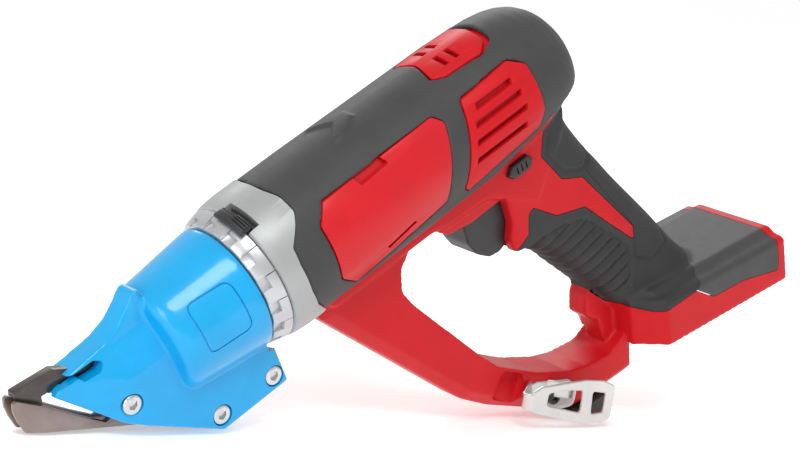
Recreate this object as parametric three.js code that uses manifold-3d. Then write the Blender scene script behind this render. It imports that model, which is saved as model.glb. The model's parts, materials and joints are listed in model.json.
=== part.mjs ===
// A cordless double-cut sheet-metal shear with no battery fitted: a blue swivel head
// with two fixed side blades and one rocking centre blade, a grey gear case with a
// black head lock, a motor barrel, a pistol handle with a full hand guard, a belt clip
// and a foot that a slide-on battery hooks into.
//
// The pieces are drawn in the barrel's own frame, in millimetres: the origin is on the
// barrel axis where the head ends, +X runs back along the barrel, +Z is up when the
// barrel is level, and -Y is the tool's left side. The finished tool is then tipped nose
// down until it stands on its side blades and its rubber bumper.

import * as THREE from 'three';
import { mergeVertices } from 'three/addons/utils/BufferGeometryUtils.js';
import Module from 'manifold-3d';

const wasm = await Module();
wasm.setup();

// Driving dimensions, in millimetres and degrees.
const REST_PITCH = 36.2;
const GAP = 0.3;
const RUNNING = 0.25;

const BARREL_R = 33.1;
const BARREL_WALL = 2.3;
const SKIN_IN = 33.4;
const SKIN_OUT = 35.6;
const BARREL_FRONT = 41;
const BARREL_END = 213.8;
const DOME_START = 176;

const HEAD_R = 30.8;
const HEAD_NECK_R = 28.4;
const HEAD_END = 3.4;
const HEAD_BORE_R = 25;
const FIN_HALF = 14.75;
const NOSE_HALF = 8.5;
const SIDE_BLADE_IN = 2.9;
const SIDE_BLADE_OUT = 6;
const CENTRE_HALF = 2.5;
const BLADE_SLOT = 6.3;
const BLADE_SCREWS = [[-65.3, -11], [-29.4, -44.5], [1.3, -45.1]];
const BLADE_SCREW_R = 2.5;
const BLADE_HEAD_R = 4.6;
const PIVOT_X = -50;
const PIVOT_Z = 6;
const PIVOT_R = 3;

const COLLAR_R = 34;
const COLLAR_FRONT = 3.8;
const COLLAR_BACK = 12.9;
const COLLAR_NOTCHES = 16;
const CASE_FRONT = 13.4;
const CASE_R = 36;
const CASE_STEP = 24;
const CASE_END = 52;

const GEAR_MODULE = 0.6;
const MOTOR_TEETH = 10;
const LAY_TEETH = 40;
const LAY_PINION_TEETH = 12;
const CRANK_TEETH = 38;
const LAY_Z = -GEAR_MODULE * (MOTOR_TEETH + LAY_TEETH) / 2;
const LAY_SHAFT_R = 2.3;
const ECCENTRIC = 2.2;

const FAN_BLADES = 9;

const HANDLE_HALF = 18.2;
const CORE_HALF = 15.8;
const KEEL_HALF = 17.6;
const GUARD_HALF = 14;
const GUARD_CHAMFER = 5;

const FOOT_PITCH = 12.2;
const FOOT_X = 305.6;
const FOOT_Z = -164.4;
const FOOT_HALF = 35.3;
const FOOT_DEPTH = 29.3;
const FOOT_WALL = 3.5;
const FOOT_FRONT = -106;
const LIP = 3.2;
const COVER_DEPTH = 3.2;

const CLIP_Y = -27;
const CLIP_T = 1.8;
const BUMPER_HALF = 13;

const RED = paint(0xd9363c, 0.45, 0);
const DARK = paint(0x3c3c3e, 0.8, 0);
const FOOT_GREY = paint(0x57575a, 0.75, 0);
const BLUE = paint(0x08a4e6, 0.25, 0.1);
const GREY_METAL = paint(0x9fa1a1, 0.45, 0.4);
const COLLAR_METAL = paint(0xb9bcbc, 0.35, 0.7);
const BLADE_STEEL = paint(0x7d6e69, 0.4, 0.8);
const DARK_STEEL = paint(0x3a3632, 0.35, 0.8);
const BRIGHT_STEEL = paint(0xd2d4d4, 0.3, 0.9);
const BLACK = paint(0x222222, 0.6, 0);
const COPPER = paint(0xb06a3a, 0.4, 0.9);

function paint(color, roughness, metalness) {
  return new THREE.MeshStandardMaterial({ color, roughness, metalness });
}

// --- Solids ---------------------------------------------------------------------------

function toSolid(geometry) {
  const bare = geometry.clone();
  bare.deleteAttribute('normal');
  bare.deleteAttribute('uv');
  const merged = mergeVertices(bare, 1e-4);
  const index = merged.index.array;
  const triangles = [];
  for (let i = 0; i < index.length; i += 3) {
    const [a, b, c] = [index[i], index[i + 1], index[i + 2]];
    if (a !== b && b !== c && c !== a) triangles.push(a, b, c);
  }
  const vertProperties = new Float32Array(merged.attributes.position.array);
  if (signedVolume(vertProperties, triangles) < 0) triangles.reverse();
  const triVerts = new Uint32Array(triangles);
  return new wasm.Manifold(new wasm.Mesh({ numProp: 3, vertProperties, triVerts }));
}

function signedVolume(vertices, triangles) {
  const [a, b, c] = [new THREE.Vector3(), new THREE.Vector3(), new THREE.Vector3()];
  let sum = 0;
  for (let i = 0; i < triangles.length; i += 3) {
    a.fromArray(vertices, 3 * triangles[i]);
    b.fromArray(vertices, 3 * triangles[i + 1]);
    c.fromArray(vertices, 3 * triangles[i + 2]);
    sum += a.dot(b.cross(c));
  }
  return sum / 6;
}

function piece(name, solid, material) {
  const { vertProperties, triVerts } = solid.getMesh();
  const geometry = new THREE.BufferGeometry();
  geometry.setAttribute('position', new THREE.BufferAttribute(vertProperties, 3));
  geometry.setIndex(new THREE.BufferAttribute(triVerts, 1));
  geometry.computeVertexNormals();
  const mesh = new THREE.Mesh(geometry, material);
  mesh.name = name;
  return mesh;
}

function outline(points) {
  return new THREE.Shape(points.map(([a, b]) => new THREE.Vector2(a, b)));
}

function turnAxes(geometry, x, y, z) {
  const basis = new THREE.Matrix4();
  basis.makeBasis(new THREE.Vector3(...x), new THREE.Vector3(...y), new THREE.Vector3(...z));
  return geometry.applyMatrix4(basis);
}

// A side-view outline of [x, z] points, made as thick as the span from yLow to yHigh.
function plateGeometry(points, yLow, yHigh) {
  const depth = yHigh - yLow;
  const flat = new THREE.ExtrudeGeometry(outline(points), { depth, bevelEnabled: false });
  return turnAxes(flat, [1, 0, 0], [0, 0, 1], [0, -1, 0]).translate(0, yHigh, 0);
}

function plate(points, yLow, yHigh) {
  return toSolid(plateGeometry(points, yLow, yHigh));
}

// A plate on one side of the tool, between two distances from the middle plane.
function sidePlate(points, side, near, far) {
  return side < 0 ? plate(points, -far, -near) : plate(points, near, far);
}

// A front-view section of [y, z] points, run along the barrel.
function bar(points, xLow, xHigh) {
  const depth = xHigh - xLow;
  const flat = new THREE.ExtrudeGeometry(outline(points), { depth, bevelEnabled: false });
  return toSolid(turnAxes(flat, [0, 1, 0], [0, 0, 1], [1, 0, 0]).translate(xLow, 0, 0));
}

// A plan-view outline of [x, y] points between two heights.
function slab(points, zLow, zHigh) {
  const depth = zHigh - zLow;
  const flat = new THREE.ExtrudeGeometry(outline(points), { depth, bevelEnabled: false });
  return toSolid(flat.translate(0, 0, zLow));
}

// A profile of [x, radius] points turned about a line along the barrel.
function turned(profile, segments = 36, y = 0, z = 0) {
  const points = profile.map(([x, r]) => new THREE.Vector2(r, x));
  const round = new THREE.LatheGeometry(points, segments);
  return toSolid(turnAxes(round, [0, 1, 0], [1, 0, 0], [0, 0, -1]).translate(0, y, z));
}

function rod(xLow, xHigh, r, segments = 18, y = 0, z = 0) {
  return turned([[xLow, 0], [xLow, r], [xHigh, r], [xHigh, 0]], segments, y, z);
}

function ring(xLow, xHigh, rIn, rOut, segments = 36, y = 0, z = 0) {
  const profile = [[xLow, rIn], [xLow, rOut], [xHigh, rOut], [xHigh, rIn], [xLow, rIn]];
  return turned(profile, segments, y, z);
}

function pin(yLow, yHigh, r, x, z, segments = 14) {
  const round = new THREE.CylinderGeometry(r, r, yHigh - yLow, segments);
  return toSolid(round.translate(x, (yLow + yHigh) / 2, z));
}

function box(xLow, xHigh, yLow, yHigh, zLow, zHigh) {
  const block = new THREE.BoxGeometry(xHigh - xLow, yHigh - yLow, zHigh - zLow);
  block.translate((xLow + xHigh) / 2, (yLow + yHigh) / 2, (zLow + zHigh) / 2);
  return toSolid(block);
}

function halfSpace(side) {
  return side < 0 ? box(-200, 400, -90, -GAP / 2, -260, 90) : box(-200, 400, GAP / 2, 90, -260, 90);
}

function union(solids) {
  return solids.reduce((sum, next) => sum.add(next));
}

// --- The foot's own frame: origin at its top rear edge, x back along it, z out of its top --

function footBox(xLow, xHigh, yLow, yHigh, zLow, zHigh) {
  const block = new THREE.BoxGeometry(xHigh - xLow, yHigh - yLow, zHigh - zLow);
  block.translate((xLow + xHigh) / 2, (yLow + yHigh) / 2, (zLow + zHigh) / 2);
  return toSolid(intoBarrelFrame(block));
}

function footSlab(points, zLow, zHigh) {
  const depth = zHigh - zLow;
  const flat = new THREE.ExtrudeGeometry(outline(points), { depth, bevelEnabled: false });
  return toSolid(intoBarrelFrame(flat.translate(0, 0, zLow)));
}

function footPlate(points, yLow, yHigh) {
  return toSolid(intoBarrelFrame(plateGeometry(points, yLow, yHigh)));
}

function intoBarrelFrame(geometry) {
  return geometry.rotateY(THREE.MathUtils.degToRad(FOOT_PITCH)).translate(FOOT_X, 0, FOOT_Z);
}

// --- Side-view outlines -------------------------------------------------------------------

const GUARD_OUTER = [
  [30, -24], [37, -40], [94, -133], [108, -148], [130, -167], [158, -187], [200, -192], [205, -176],
];
const GUARD_INNER = [
  [206, -166], [186, -169], [170, -165], [157, -161], [138, -147], [118, -128], [110, -115],
  [79, -58], [75.5, -53], [77, -47], [82, -41], [88, -37.5], [96, -26],
];
const KEEL = [
  [36, -22], [36, -30], [41, -37], [107, -37.5], [113, -41], [122, -44], [137, -45.5],
  [140, -54], [152, -74], [156, -82], [166, -88], [180, -70], [196, -32], [200, -20], [190, -12],
];
const CORE = [
  [148, -40], [150, -66], [170, -92], [195, -134], [205, -158], [254, -158], [249, -142], [207.5, -54], [197, -28], [180, -30],
];
const GRIP_OUTER = [
  [156, -79.5], [166.5, -92.5], [194.5, -139], [198, -147], [262, -161], [253, -142],
  [211, -52], [206, -42], [203, -30], [183, -27.5],
];
const RED_WEDGE = [
  [130, -10], [186, -10], [187, -28], [180.5, -41], [189, -60], [202, -67.5], [223.5, -112], [221, -119.5],
  [210, -103], [197, -82.5], [179, -76], [166, -61.5], [161, -63.5], [157.5, -73], [148, -74], [130, -60],
];
const HANDLE_TAB = [[199, -134], [190, -136], [186, -147], [190, -155], [190, -172], [212, -174], [212, -150]];

// --- Red clamshell halves -----------------------------------------------------------------

function barrelShell() {
  const inner = BARREL_R - BARREL_WALL;
  return turned([
    [BARREL_FRONT, inner], [BARREL_FRONT, BARREL_R], [DOME_START, 32.1], [190, 30.2], [199, 26.6],
    [206.5, 19], [210.3, 10], [211.2, 0], [208.8, 0], [207.8, 9.4], [204.4, 17.6], [197.4, 24.6],
    [189, 27.9], [176, 29.8], [BARREL_FRONT, inner],
  ]);
}

function guardLoop() {
  const body = plate([...GUARD_OUTER, ...GUARD_INNER], -GUARD_HALF, GUARD_HALF);
  const corners = [];
  for (const side of [-1, 1]) {
    corners.push(guardChamfer(side));
  }
  return corners.reduce((rest, corner) => rest.subtract(corner), body);
}

// The broad slope along the guard's outer edge, as one long wedge beside its straight leg.
function guardChamfer(side) {
  const [top, bend] = [GUARD_OUTER[1], GUARD_OUTER[2]];
  const length = Math.hypot(bend[0] - top[0], bend[1] - top[1]);
  const edge = outline([[-1, GUARD_CHAMFER], [-1, -1], [GUARD_CHAMFER + 1, -1]]);
  const wedge = new THREE.ExtrudeGeometry(edge, { depth: length, bevelEnabled: false });
  const along = [(bend[0] - top[0]) / length, 0, (bend[1] - top[1]) / length];
  const inward = [-along[2], 0, along[0]];
  const across = [0, -side, 0];
  turnAxes(wedge, inward, across, along);
  return toSolid(wedge.translate(top[0], side * GUARD_HALF, top[1]));
}

function footBody() {
  const plan = [
    [FOOT_FRONT, -17], [FOOT_FRONT + 8, -23], [FOOT_FRONT + 17, -FOOT_HALF], [0, -FOOT_HALF],
    [0, FOOT_HALF], [FOOT_FRONT + 17, FOOT_HALF], [FOOT_FRONT + 8, 23], [FOOT_FRONT, 17],
  ];
  return footSlab(plan, -FOOT_DEPTH, -COVER_DEPTH);
}

function batteryBay() {
  const inner = FOOT_HALF - FOOT_WALL;
  const channel = footBox(FOOT_FRONT + 24, 20, -inner, inner, -FOOT_DEPTH + LIP, -9);
  const mouth = footBox(FOOT_FRONT + 24, 20, -inner + LIP, inner - LIP, -60, -FOOT_DEPTH + LIP + 1);
  return channel.add(mouth);
}

function housingScrewHole(x, z, half) {
  return pin(-60, 60, 2, x, z).add(pin(half - 3.4, 60, 4, x, z));
}

const HOUSING_SCREWS = [
  [59, -52, GUARD_HALF], [105, -131, GUARD_HALF], [190, -181, GUARD_HALF], [176, -51, KEEL_HALF],
  [211.4, -97.5, KEEL_HALF],
];

function clamshell() {
  const solid = union([
    barrelShell(),
    plate(KEEL, -KEEL_HALF, KEEL_HALF),
    plate(CORE, -CORE_HALF, CORE_HALF),
    plate(RED_WEDGE, -KEEL_HALF, KEEL_HALF).subtract(turned([[100, 0], [100, 34.4], [240, 34.4], [240, 0]])),
    guardLoop(),
    footBody(),
    footRim(),
    plate(HANDLE_TAB, -9, 9),
  ]);
  const handleHollow = plate(
    [[156, -43], [156, -76], [172, -90], [201, -140], [238, -140], [205, -62], [196, -44]], -12.5, 12.5,
  );
  const triggerWay = box(120, 170, -10.6, 10.6, -76.5, -43.6);
  const wireWay = footBox(-88, -62, -9, 9, -12, 24);
  const buttonWay = box(153.7, 171.3, -60, 60, -38.4, -30.6);
  const cuts = [
    rod(20, 170, BARREL_R - BARREL_WALL - 0.2, 36), handleHollow, triggerWay, wireWay,
    buttonWay, batteryBay(), clipSeat(), ...HOUSING_SCREWS.map(([x, z, half]) => housingScrewHole(x, z, half)),
  ];
  return cuts.reduce((rest, cut) => rest.subtract(cut), solid);
}

// The flat step in each side of the guard that the belt clip can bolt to.
function clipSeat() {
  const step = [[112, -138], [126, -134], [192, -188], [180, -205], [158, -205], [112, -160]];
  const both = plate(step, -30, -GUARD_HALF + 1.2).add(plate(step, GUARD_HALF - 1.2, 30));
  return both.add(pin(-60, 60, 1.9, 141.8, -165));
}

// --- Rubber skins and panels on the barrel --------------------------------------------------

const SKIN_PROFILE = [
  [22, SKIN_IN], [22, SKIN_OUT - 0.3], [150, SKIN_OUT], [DOME_START, 34.4], [190, 32.6],
  [200, 29], [208.4, 20.8], [212.6, 11], [BARREL_END, 0], [211.5, 0], [210.6, 10.2], [206.8, 19.2],
  [199.2, 26.9], [190.1, 30.5], [DOME_START, 32.4], [BARREL_FRONT, SKIN_IN], [22, SKIN_IN],
];
const BADGE = [[49.3, 22.8], [118.1, 24.2], [121.8, 20.2], [107.2, -13.7], [51.2, -22], [41.7, -12], [41.7, 15.9]];
const VENT = [[135.4, 22.8], [168.2, 24.3], [175, 19.5], [174, -3.5], [169, -11.5], [121.9, -17.6], [119.7, -14.6]];
const SKIN_EDGE = [[10, -60], [10, -27], [40, -27], [142, -24], [151, -17.5], [215, -8], [215, -60]];
const TOP_VENT = [[132.5, -15], [161, -17.5], [168, -12.5], [168, 12.5], [161, 17.5], [132.5, 15]];

function grown(points, by) {
  const [cx, cy] = [0, 1].map((k) => points.reduce((sum, p) => sum + p[k], 0) / points.length);
  return points.map(([x, y]) => {
    const far = Math.hypot(x - cx, y - cy);
    return [x + (x - cx) * by / far, y + (y - cy) * by / far];
  });
}

// The same outline moved a gap's width each way, to cut a seam round another piece.
function around(points) {
  const moves = [[-GAP, 0], [GAP, 0], [0, -GAP], [0, GAP]];
  return moves.map(([dx, dz]) => points.map(([x, z]) => [x + dx, z + dz]));
}

function barrelSkin(side) {
  const earZone = box(10, 34.7, -60, 60, 23.5, 60).add(box(10, 31.6, -60, 60, -60, -24));
  const cuts = [
    plate(SKIN_EDGE, -60, 60),
    earZone,
    box(10, CASE_STEP + GAP, -60, 60, -60, 60),
    sidePlate(grown(BADGE, 0.6), side, 10, 60),
    sidePlate(grown(VENT, 0.6), side, 10, 60),
    slab(grown(TOP_VENT, 0.6), 10, 60),
  ];
  return cuts.reduce((rest, cut) => rest.subtract(cut), turned(SKIN_PROFILE).intersect(halfSpace(side)));
}

function badgePanel(side) {
  return ring(30, 180, SKIN_IN + 0.1, SKIN_OUT - 0.5).intersect(sidePlate(BADGE, side, 12, 60));
}

function ventPanel(side) {
  const slots = [17.5, 11, 3.6, -4.5].map((z, i) => {
    const start = 139 - 3.8 * i;
    return sidePlate([[start, z - 1.6], [165, z - 1.6], [165, z + 1.6], [start + 1.5, z + 1.6]], side, 10, 60);
  });
  const panel = ring(100, 180, SKIN_IN + 0.1, SKIN_OUT - 0.3).intersect(sidePlate(VENT, side, 12, 60));
  return slots.reduce((rest, slot) => rest.subtract(slot), panel);
}

function topVent() {
  const panel = ring(120, 180, SKIN_IN + 0.1, SKIN_OUT - 0.2).intersect(slab(TOP_VENT, 10, 60));
  const slots = [];
  for (const x of [145, 152]) {
    for (const y of [-9, 9]) slots.push(box(x - 1.4, x + 1.4, y - 5.5, y + 5.5, 10, 60));
  }
  return slots.reduce((rest, slot) => rest.subtract(slot), panel);
}

// The moulded grip: a skin over the handle core, open where the red wedge shows.
function handleGrip(side) {
  const inner = grown(CORE, GAP);
  const body = sidePlate(GRIP_OUTER, side, GAP / 2, HANDLE_HALF);
  const cuts = [
    sidePlate(inner, side, -1, CORE_HALF + GAP),
    ...around(RED_WEDGE).map((points) => sidePlate(points, side, -1, 60)),
    ...around(KEEL).map((points) => sidePlate(points, side, -1, KEEL_HALF + GAP)),
    rod(120, 215, BARREL_R + 0.6, 36),
    plate([[120, -26], [120, 40], [230, 40], [230, -16]], -60, 60),
    footBox(-120, 20, -60, 60, -60, 0.4),
    plate(grown(HANDLE_TAB, GAP), -9 - GAP, 9 + GAP),
  ];
  return cuts.reduce((rest, cut) => rest.subtract(cut), body);
}

function footCover(side) {
  const half = FOOT_HALF;
  const front = FOOT_FRONT;
  const plan = [[front, 0], [front, 17], [front + 8, 23], [front + 17, half], [-4.5, half], [-4.5, 0]];
  const shape = plan.map(([x, y]) => [x, side * y]);
  const low = footSlab(shape, -COVER_DEPTH + GAP, -2.5);
  const ridge = footBox(front + 1, -4.5, side < 0 ? -27.1 : GAP / 2, side < 0 ? -GAP / 2 : 27.1, -2.6, 0);
  const cuts = [
    halfSpace(-side),
    plate(grown(CORE, GAP), -CORE_HALF - GAP, CORE_HALF + GAP),
    plate(grown(HANDLE_TAB, 0.8), -9.5, 9.5),
    box(-200, 400, -GAP / 2, GAP / 2, -260, 90),
  ];
  return cuts.reduce((rest, cut) => rest.subtract(cut), low.add(ridge));
}

// The raised red edge across the back of the foot, moulded with the clamshell.
function footRim() {
  const low = footBox(-4.1, 0, -FOOT_HALF, FOOT_HALF, -COVER_DEPTH - 0.1, -2.5);
  return low.add(footBox(-4.1, 0, -27.1, 27.1, -2.6, 0));
}

// --- Head ---------------------------------------------------------------------------------

const FIN = [
  [-92.5, 11], [-78.5, 13], [-83, 17.5], [-68, 17.5], [-58, 19], [-48, 23.5], [-41.5, 29], [-20, 29],
  [3, 20], [7, -25], [7, -51.5], [-31, -51.8], [-71, -18],
];
const FIN_PLAN = [[-94, -7.5], [-62, -FIN_HALF], [9, -FIN_HALF], [9, FIN_HALF], [-62, FIN_HALF], [-94, 7.5]];
const NOSE_SECTION = [
  [-FIN_HALF - 1, -70], [-FIN_HALF, -3], [-11, 8], [-NOSE_HALF + 3.5, 17.6], [-3, 40],
  [3, 40], [NOSE_HALF - 3.5, 17.6], [11, 8], [FIN_HALF, -3], [FIN_HALF + 1, -70],
];

function headCasting() {
  const barrel = turned([[-43, 0], [-43, HEAD_NECK_R - 3], [-40, HEAD_NECK_R], [HEAD_END, HEAD_R], [HEAD_END, 0]]);
  const fin = plate(FIN, -FIN_HALF, FIN_HALF).intersect(slab(FIN_PLAN, -70, 60));
  const wedge = bar(NOSE_SECTION, -100, -44).add(box(-44.5, 20, -40, 40, -70, 60));
  const cuts = [
    rod(-30, 20, HEAD_BORE_R, 36),
    rod(COLLAR_FRONT - GAP, 20, COLLAR_R + GAP, 36),
    plate([[-97, 13.4], [-79, 13.4], [-78, 9.8], [-70, 9.8], [-66.6, 12.7], [-70, 15.6], [-86, 15.6], [-97, 20]], -60, 60),
    box(-100, -72, -3.2, 3.2, 0, 40),
    plate([[-90, 0], [-90, 30], [-73, 22], [-50, 20], [-30, 24], [-20, 24], [-20, -20], [-40, -14], [-66, -3]], -3.2, 3.2),
    plate([[-100, 9], [-78, 6], [-72, -1.5], [-60, 1], [-18, -29], [9, -34], [9, -70], [-60, -70]], -BLADE_SLOT, BLADE_SLOT),
    ...BLADE_SCREWS.map(([x, z]) => bladeScrewHole(x, z)),
    pin(-11, 60, PIVOT_R + GAP, PIVOT_X, PIVOT_Z),
    pin(11.4, 60, 5.3, PIVOT_X, PIVOT_Z),
  ];
  return cuts.reduce((rest, cut) => rest.subtract(cut), barrel.add(fin.intersect(wedge)));
}

function bladeScrewHole(x, z) {
  const counterbore = BLADE_HEAD_R + GAP;
  const shank = pin(-60, 60, BLADE_SCREW_R + GAP, x, z);
  return union([shank, pin(-60, -11.6, counterbore, x, z), pin(11.4, 60, counterbore, x, z)]);
}

function bladeScrew(x, z) {
  return pin(-11.9, 13.6, BLADE_SCREW_R, x, z, 10).add(pin(-14.6, -11.9, BLADE_HEAD_R, x, z));
}

function bladeNut(x, z) {
  return pin(11.7, 14.9, 4.4, x, z, 6).subtract(pin(0, 30, BLADE_SCREW_R + 0.2, x, z));
}

const SIDE_BLADE = [
  [-114.1, 17.1], [-110.5, 19.1], [-107.5, 19.3], [-98.3, 10.5], [-84.2, -6.8], [-76.5, -15.5], [-73, -7],
  [-66, -4], [-60, -5], [-20, -34], [6.5, -39], [6.5, -50], [-30, -50], [-48, -37], [-67.5, -24.2],
  [-111, 4.0], [-113.6, 10],
];

function sideBlade(side) {
  const blade = sidePlate(SIDE_BLADE, side, SIDE_BLADE_IN, SIDE_BLADE_OUT);
  return BLADE_SCREWS.reduce((rest, [x, z]) => rest.subtract(pin(-60, 60, BLADE_SCREW_R + GAP, x, z)), blade);
}

function bladeSpacer() {
  const web = plate(
    [[-73, -12], [-66, -4.5], [-58, -8], [-20, -34.5], [6, -39.5], [6, -49.5], [-29.5, -49.5], [-70, -19]],
    -CENTRE_HALF, CENTRE_HALF,
  );
  return BLADE_SCREWS.reduce((rest, [x, z]) => rest.subtract(pin(-60, 60, BLADE_SCREW_R + GAP, x, z)), web);
}

// The rocking blade: cutting bar in front of its pivot, open yoke behind it. The yoke stands
// clear of the whole sweep of the eccentric bearing.
function centreBlade() {
  const profile = [
    [-106.4, 21], [-105.2, 22], [-86.1, 19.8], [-76.3, 12.6], [-66, 12.4], [-56, 15], [-44, 15], [-34, 16],
    [-22, 20.5], [-3, 20.5], [-3, 16.6], [-16, 16.6], [-16, -11.2], [-3, -11.2], [-3, -15],
    [-22, -15], [-34, -7], [-48, -3], [-60, 2], [-72, 6.5], [-79.4, 10.7], [-95.8, 12.4], [-96.8, 6],
    [-99.7, 10.6], [-104.2, 16.7],
  ];
  return plate(profile, -CENTRE_HALF, CENTRE_HALF).subtract(pin(-9, 9, PIVOT_R + 0.1 + RUNNING, PIVOT_X, PIVOT_Z));
}

function pivotPin() {
  return pin(-10.6, 11.7, PIVOT_R, PIVOT_X, PIVOT_Z).add(pin(11.7, 13.4, 5, PIVOT_X, PIVOT_Z));
}

// --- Gear case, collar and head lock ------------------------------------------------------

function indexRing() {
  const body = ring(COLLAR_FRONT, COLLAR_BACK, 20, COLLAR_R);
  const tube = ring(-28, COLLAR_FRONT + 1, 22.6, HEAD_BORE_R - GAP);
  const notches = [];
  for (let i = 0; i < COLLAR_NOTCHES; i += 1) {
    const cut = new THREE.BoxGeometry(4.6, 5.5, 4);
    cut.translate(COLLAR_BACK - 1.6, 0, COLLAR_R + 0.8);
    cut.rotateX(2 * Math.PI * i / COLLAR_NOTCHES);
    notches.push(toSolid(cut));
  }
  return notches.reduce((rest, notch) => rest.subtract(notch), body.add(tube));
}

function gearCase() {
  const shell = turned([
    [CASE_FRONT, 14.6], [CASE_FRONT, CASE_R - 1], [CASE_FRONT + 1, CASE_R], [34.4, CASE_R], [34.4, BARREL_R],
    [BARREL_FRONT - GAP, BARREL_R], [BARREL_FRONT - GAP, 30.5], [CASE_END, 30.5], [CASE_END, 29],
    [22, 29], [20.4, 14.6], [CASE_FRONT, 14.6],
  ]);
  const lugs = turned([[CASE_STEP, SKIN_IN - GAP], [CASE_STEP, 50], [50, 50], [50, SKIN_IN - GAP], [CASE_STEP, SKIN_IN - GAP]]);
  const ears = box(20, 34.4, -60, 60, 23.8, 60).add(box(20, 31.3, -60, 60, -60, -24.3));
  const window = box(10, 19.2, -23, -2, 26, 60);
  const guardRoot = plate(grown([...GUARD_OUTER, ...GUARD_INNER], GAP), -GUARD_HALF - GAP, GUARD_HALF + GAP);
  const keelRoot = plate(grown(KEEL, 0.5), -KEEL_HALF - GAP, KEEL_HALF + GAP);
  return shell.subtract(lugs.subtract(ears)).subtract(window).subtract(guardRoot).subtract(keelRoot);
}

function lockLever() {
  const arc = ring(9.4, 15.2, COLLAR_R + 0.4, 37.8, 48);
  const pawl = ring(CASE_FRONT + 0.2, 15.2, 32, COLLAR_R + 1, 48).intersect(box(0, 30, -14.5, -11.5, 20, 60));
  return arc.intersect(box(0, 30, -22.4, -2.7, 26.5, 60)).add(pawl);
}

// --- Drive train ----------------------------------------------------------------------------

function gear(teeth, xLow, xHigh, bore, y, z, firstTooth) {
  const step = 2 * Math.PI / teeth;
  const [root, tip] = [GEAR_MODULE * (teeth / 2 - 1.2), GEAR_MODULE * (teeth / 2 + 0.9)];
  const points = [];
  for (let i = 0; i < teeth; i += 1) {
    const middle = firstTooth + i * step;
    for (const [r, turn] of [[root, -0.25], [tip, -0.1], [tip, 0.1], [root, 0.25]]) {
      const angle = middle + turn * step;
      points.push([y + r * Math.cos(angle), z + r * Math.sin(angle)]);
    }
  }
  return bar(points, xLow, xHigh).subtract(rod(xLow - 1, xHigh + 1, bore, 24, y, z));
}

const DOWN = -Math.PI / 2;
const UP = Math.PI / 2;

function crankShaft() {
  const throwPin = rod(-12.5, -3.4, 4.4, 18, 0, ECCENTRIC);
  return union([throwPin, rod(-3.5, 21, 7, 24), rod(20.9, 38.4, 5)]);
}

function gearPlate() {
  const holes = [rod(30, 45, 5 + RUNNING), rod(30, 45, LAY_SHAFT_R + RUNNING, 18, 0, LAY_Z)];
  return holes.reduce((rest, hole) => rest.subtract(hole), rod(34, 38.5, 28.7, 36));
}

function motorPlate() {
  return turned([[53, 9.4], [53, 30.2], [57, 30.2], [57, 13], [64.2, 13], [64.2, 11.4], [59, 11.4], [59, 9.4], [53, 9.4]]);
}

function motorShaft() {
  return rod(48.8, 189.5, 4);
}

function armature() {
  const stack = ring(88, 138, 4.2, 23.5, 24);
  const windings = ring(82, 144, 4.2, 18.5, 24);
  return stack.add(windings);
}

function coolingFan() {
  const hub = ring(67, 78, 4.2, 9, 24).add(ring(75.6, 78, 8, 29, 40));
  const blades = [];
  for (let i = 0; i < FAN_BLADES; i += 1) {
    const vane = new THREE.BoxGeometry(8, 19.6, 1.6).translate(72.2, 18.6, 0);
    vane.rotateX(2 * Math.PI * i / FAN_BLADES);
    blades.push(toSolid(vane));
  }
  return union([hub, ...blades]);
}

function brushHolder() {
  const frame = ring(147, 157, 13.6, 30, 40);
  const windows = [box(148.5, 155.5, -26, 26, -4, 4)];
  return windows.reduce((rest, cut) => rest.subtract(cut), frame);
}

// --- Handle inside and controls ---------------------------------------------------------------

function trigger() {
  const profile = [
    [128, -44.4], [126.4, -50], [126.2, -59], [129.2, -67], [135.6, -73], [142, -74.2], [149, -72.2],
    [153, -66.6], [154.4, -58], [154.4, -44.6],
  ];
  return plate(profile, -10, 10).add(box(153, 161.5, -4, 4, -64, -54));
}

function switchBody() {
  const block = box(163.5, 177, -11.5, 11.5, -71, -44.5).subtract(pin(-60, 60, 4.3, 176, -51));
  return block.subtract(box(160, 173, -4.4, 4.4, -64.4, -53.6));
}

function lockButton() {
  const across = [[154, -34.5], [157.5, -30.9], [168, -30.9], [171, -34.5], [168, -38.1], [157.5, -38.1]];
  return plate(across, -19.6, 19.6);
}

function housingScrew(x, z, half) {
  const head = pin(half - 3.1, half - 0.4, 3.6, x, z);
  return pin(half - 19, half - 3, 1.7, x, z, 8).add(head);
}

function terminalBlock() {
  return footBox(-80, -48, -17, 17, -20, -9.3).subtract(terminalSlots());
}

function terminalSlots() {
  return union([-12.5, 0, 12.5].map((y) => footBox(-81, -46, y - 0.9, y + 0.9, -21, -11)));
}

function contact(y) {
  return footBox(-76, -44, y - 0.5, y + 0.5, -19.4, -11.6);
}

// --- Belt clip and bumper ---------------------------------------------------------------------

const CLIP_LEAF = [
  [117.5, -150.2], [122.1, -141.6], [129, -143.6], [155.8, -159.3], [166.1, -167.5], [172.4, -175.8],
  [161.6, -191.4], [148.8, -183.6], [135.6, -170.8], [120, -153.4],
];

function beltClip() {
  const leaf = plate(CLIP_LEAF, CLIP_Y - CLIP_T, CLIP_Y);
  const windows = [
    plate([[128, -154], [131, -149.6], [139.9, -154.3], [151.9, -163.6], [146, -173]], -60, -20),
    plate([[157.3, -168.3], [165, -175.3], [159.6, -184], [151.6, -179.1]], -60, -20),
  ];
  const bend = plate([[117.5, -150.2], [122.1, -141.6], [124.2, -142.6], [119.4, -151.8]], CLIP_Y - 0.2, -13.4);
  const seat = plate([[117.5, -150.2], [122.1, -141.6], [150, -160], [147.6, -173.4], [140, -174]], -14.9, -13.2);
  const hole = pin(-20, 0, 1.9, 141.8, -165);
  return windows.reduce((rest, cut) => rest.subtract(cut), leaf).add(bend).add(seat).subtract(hole);
}

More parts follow.
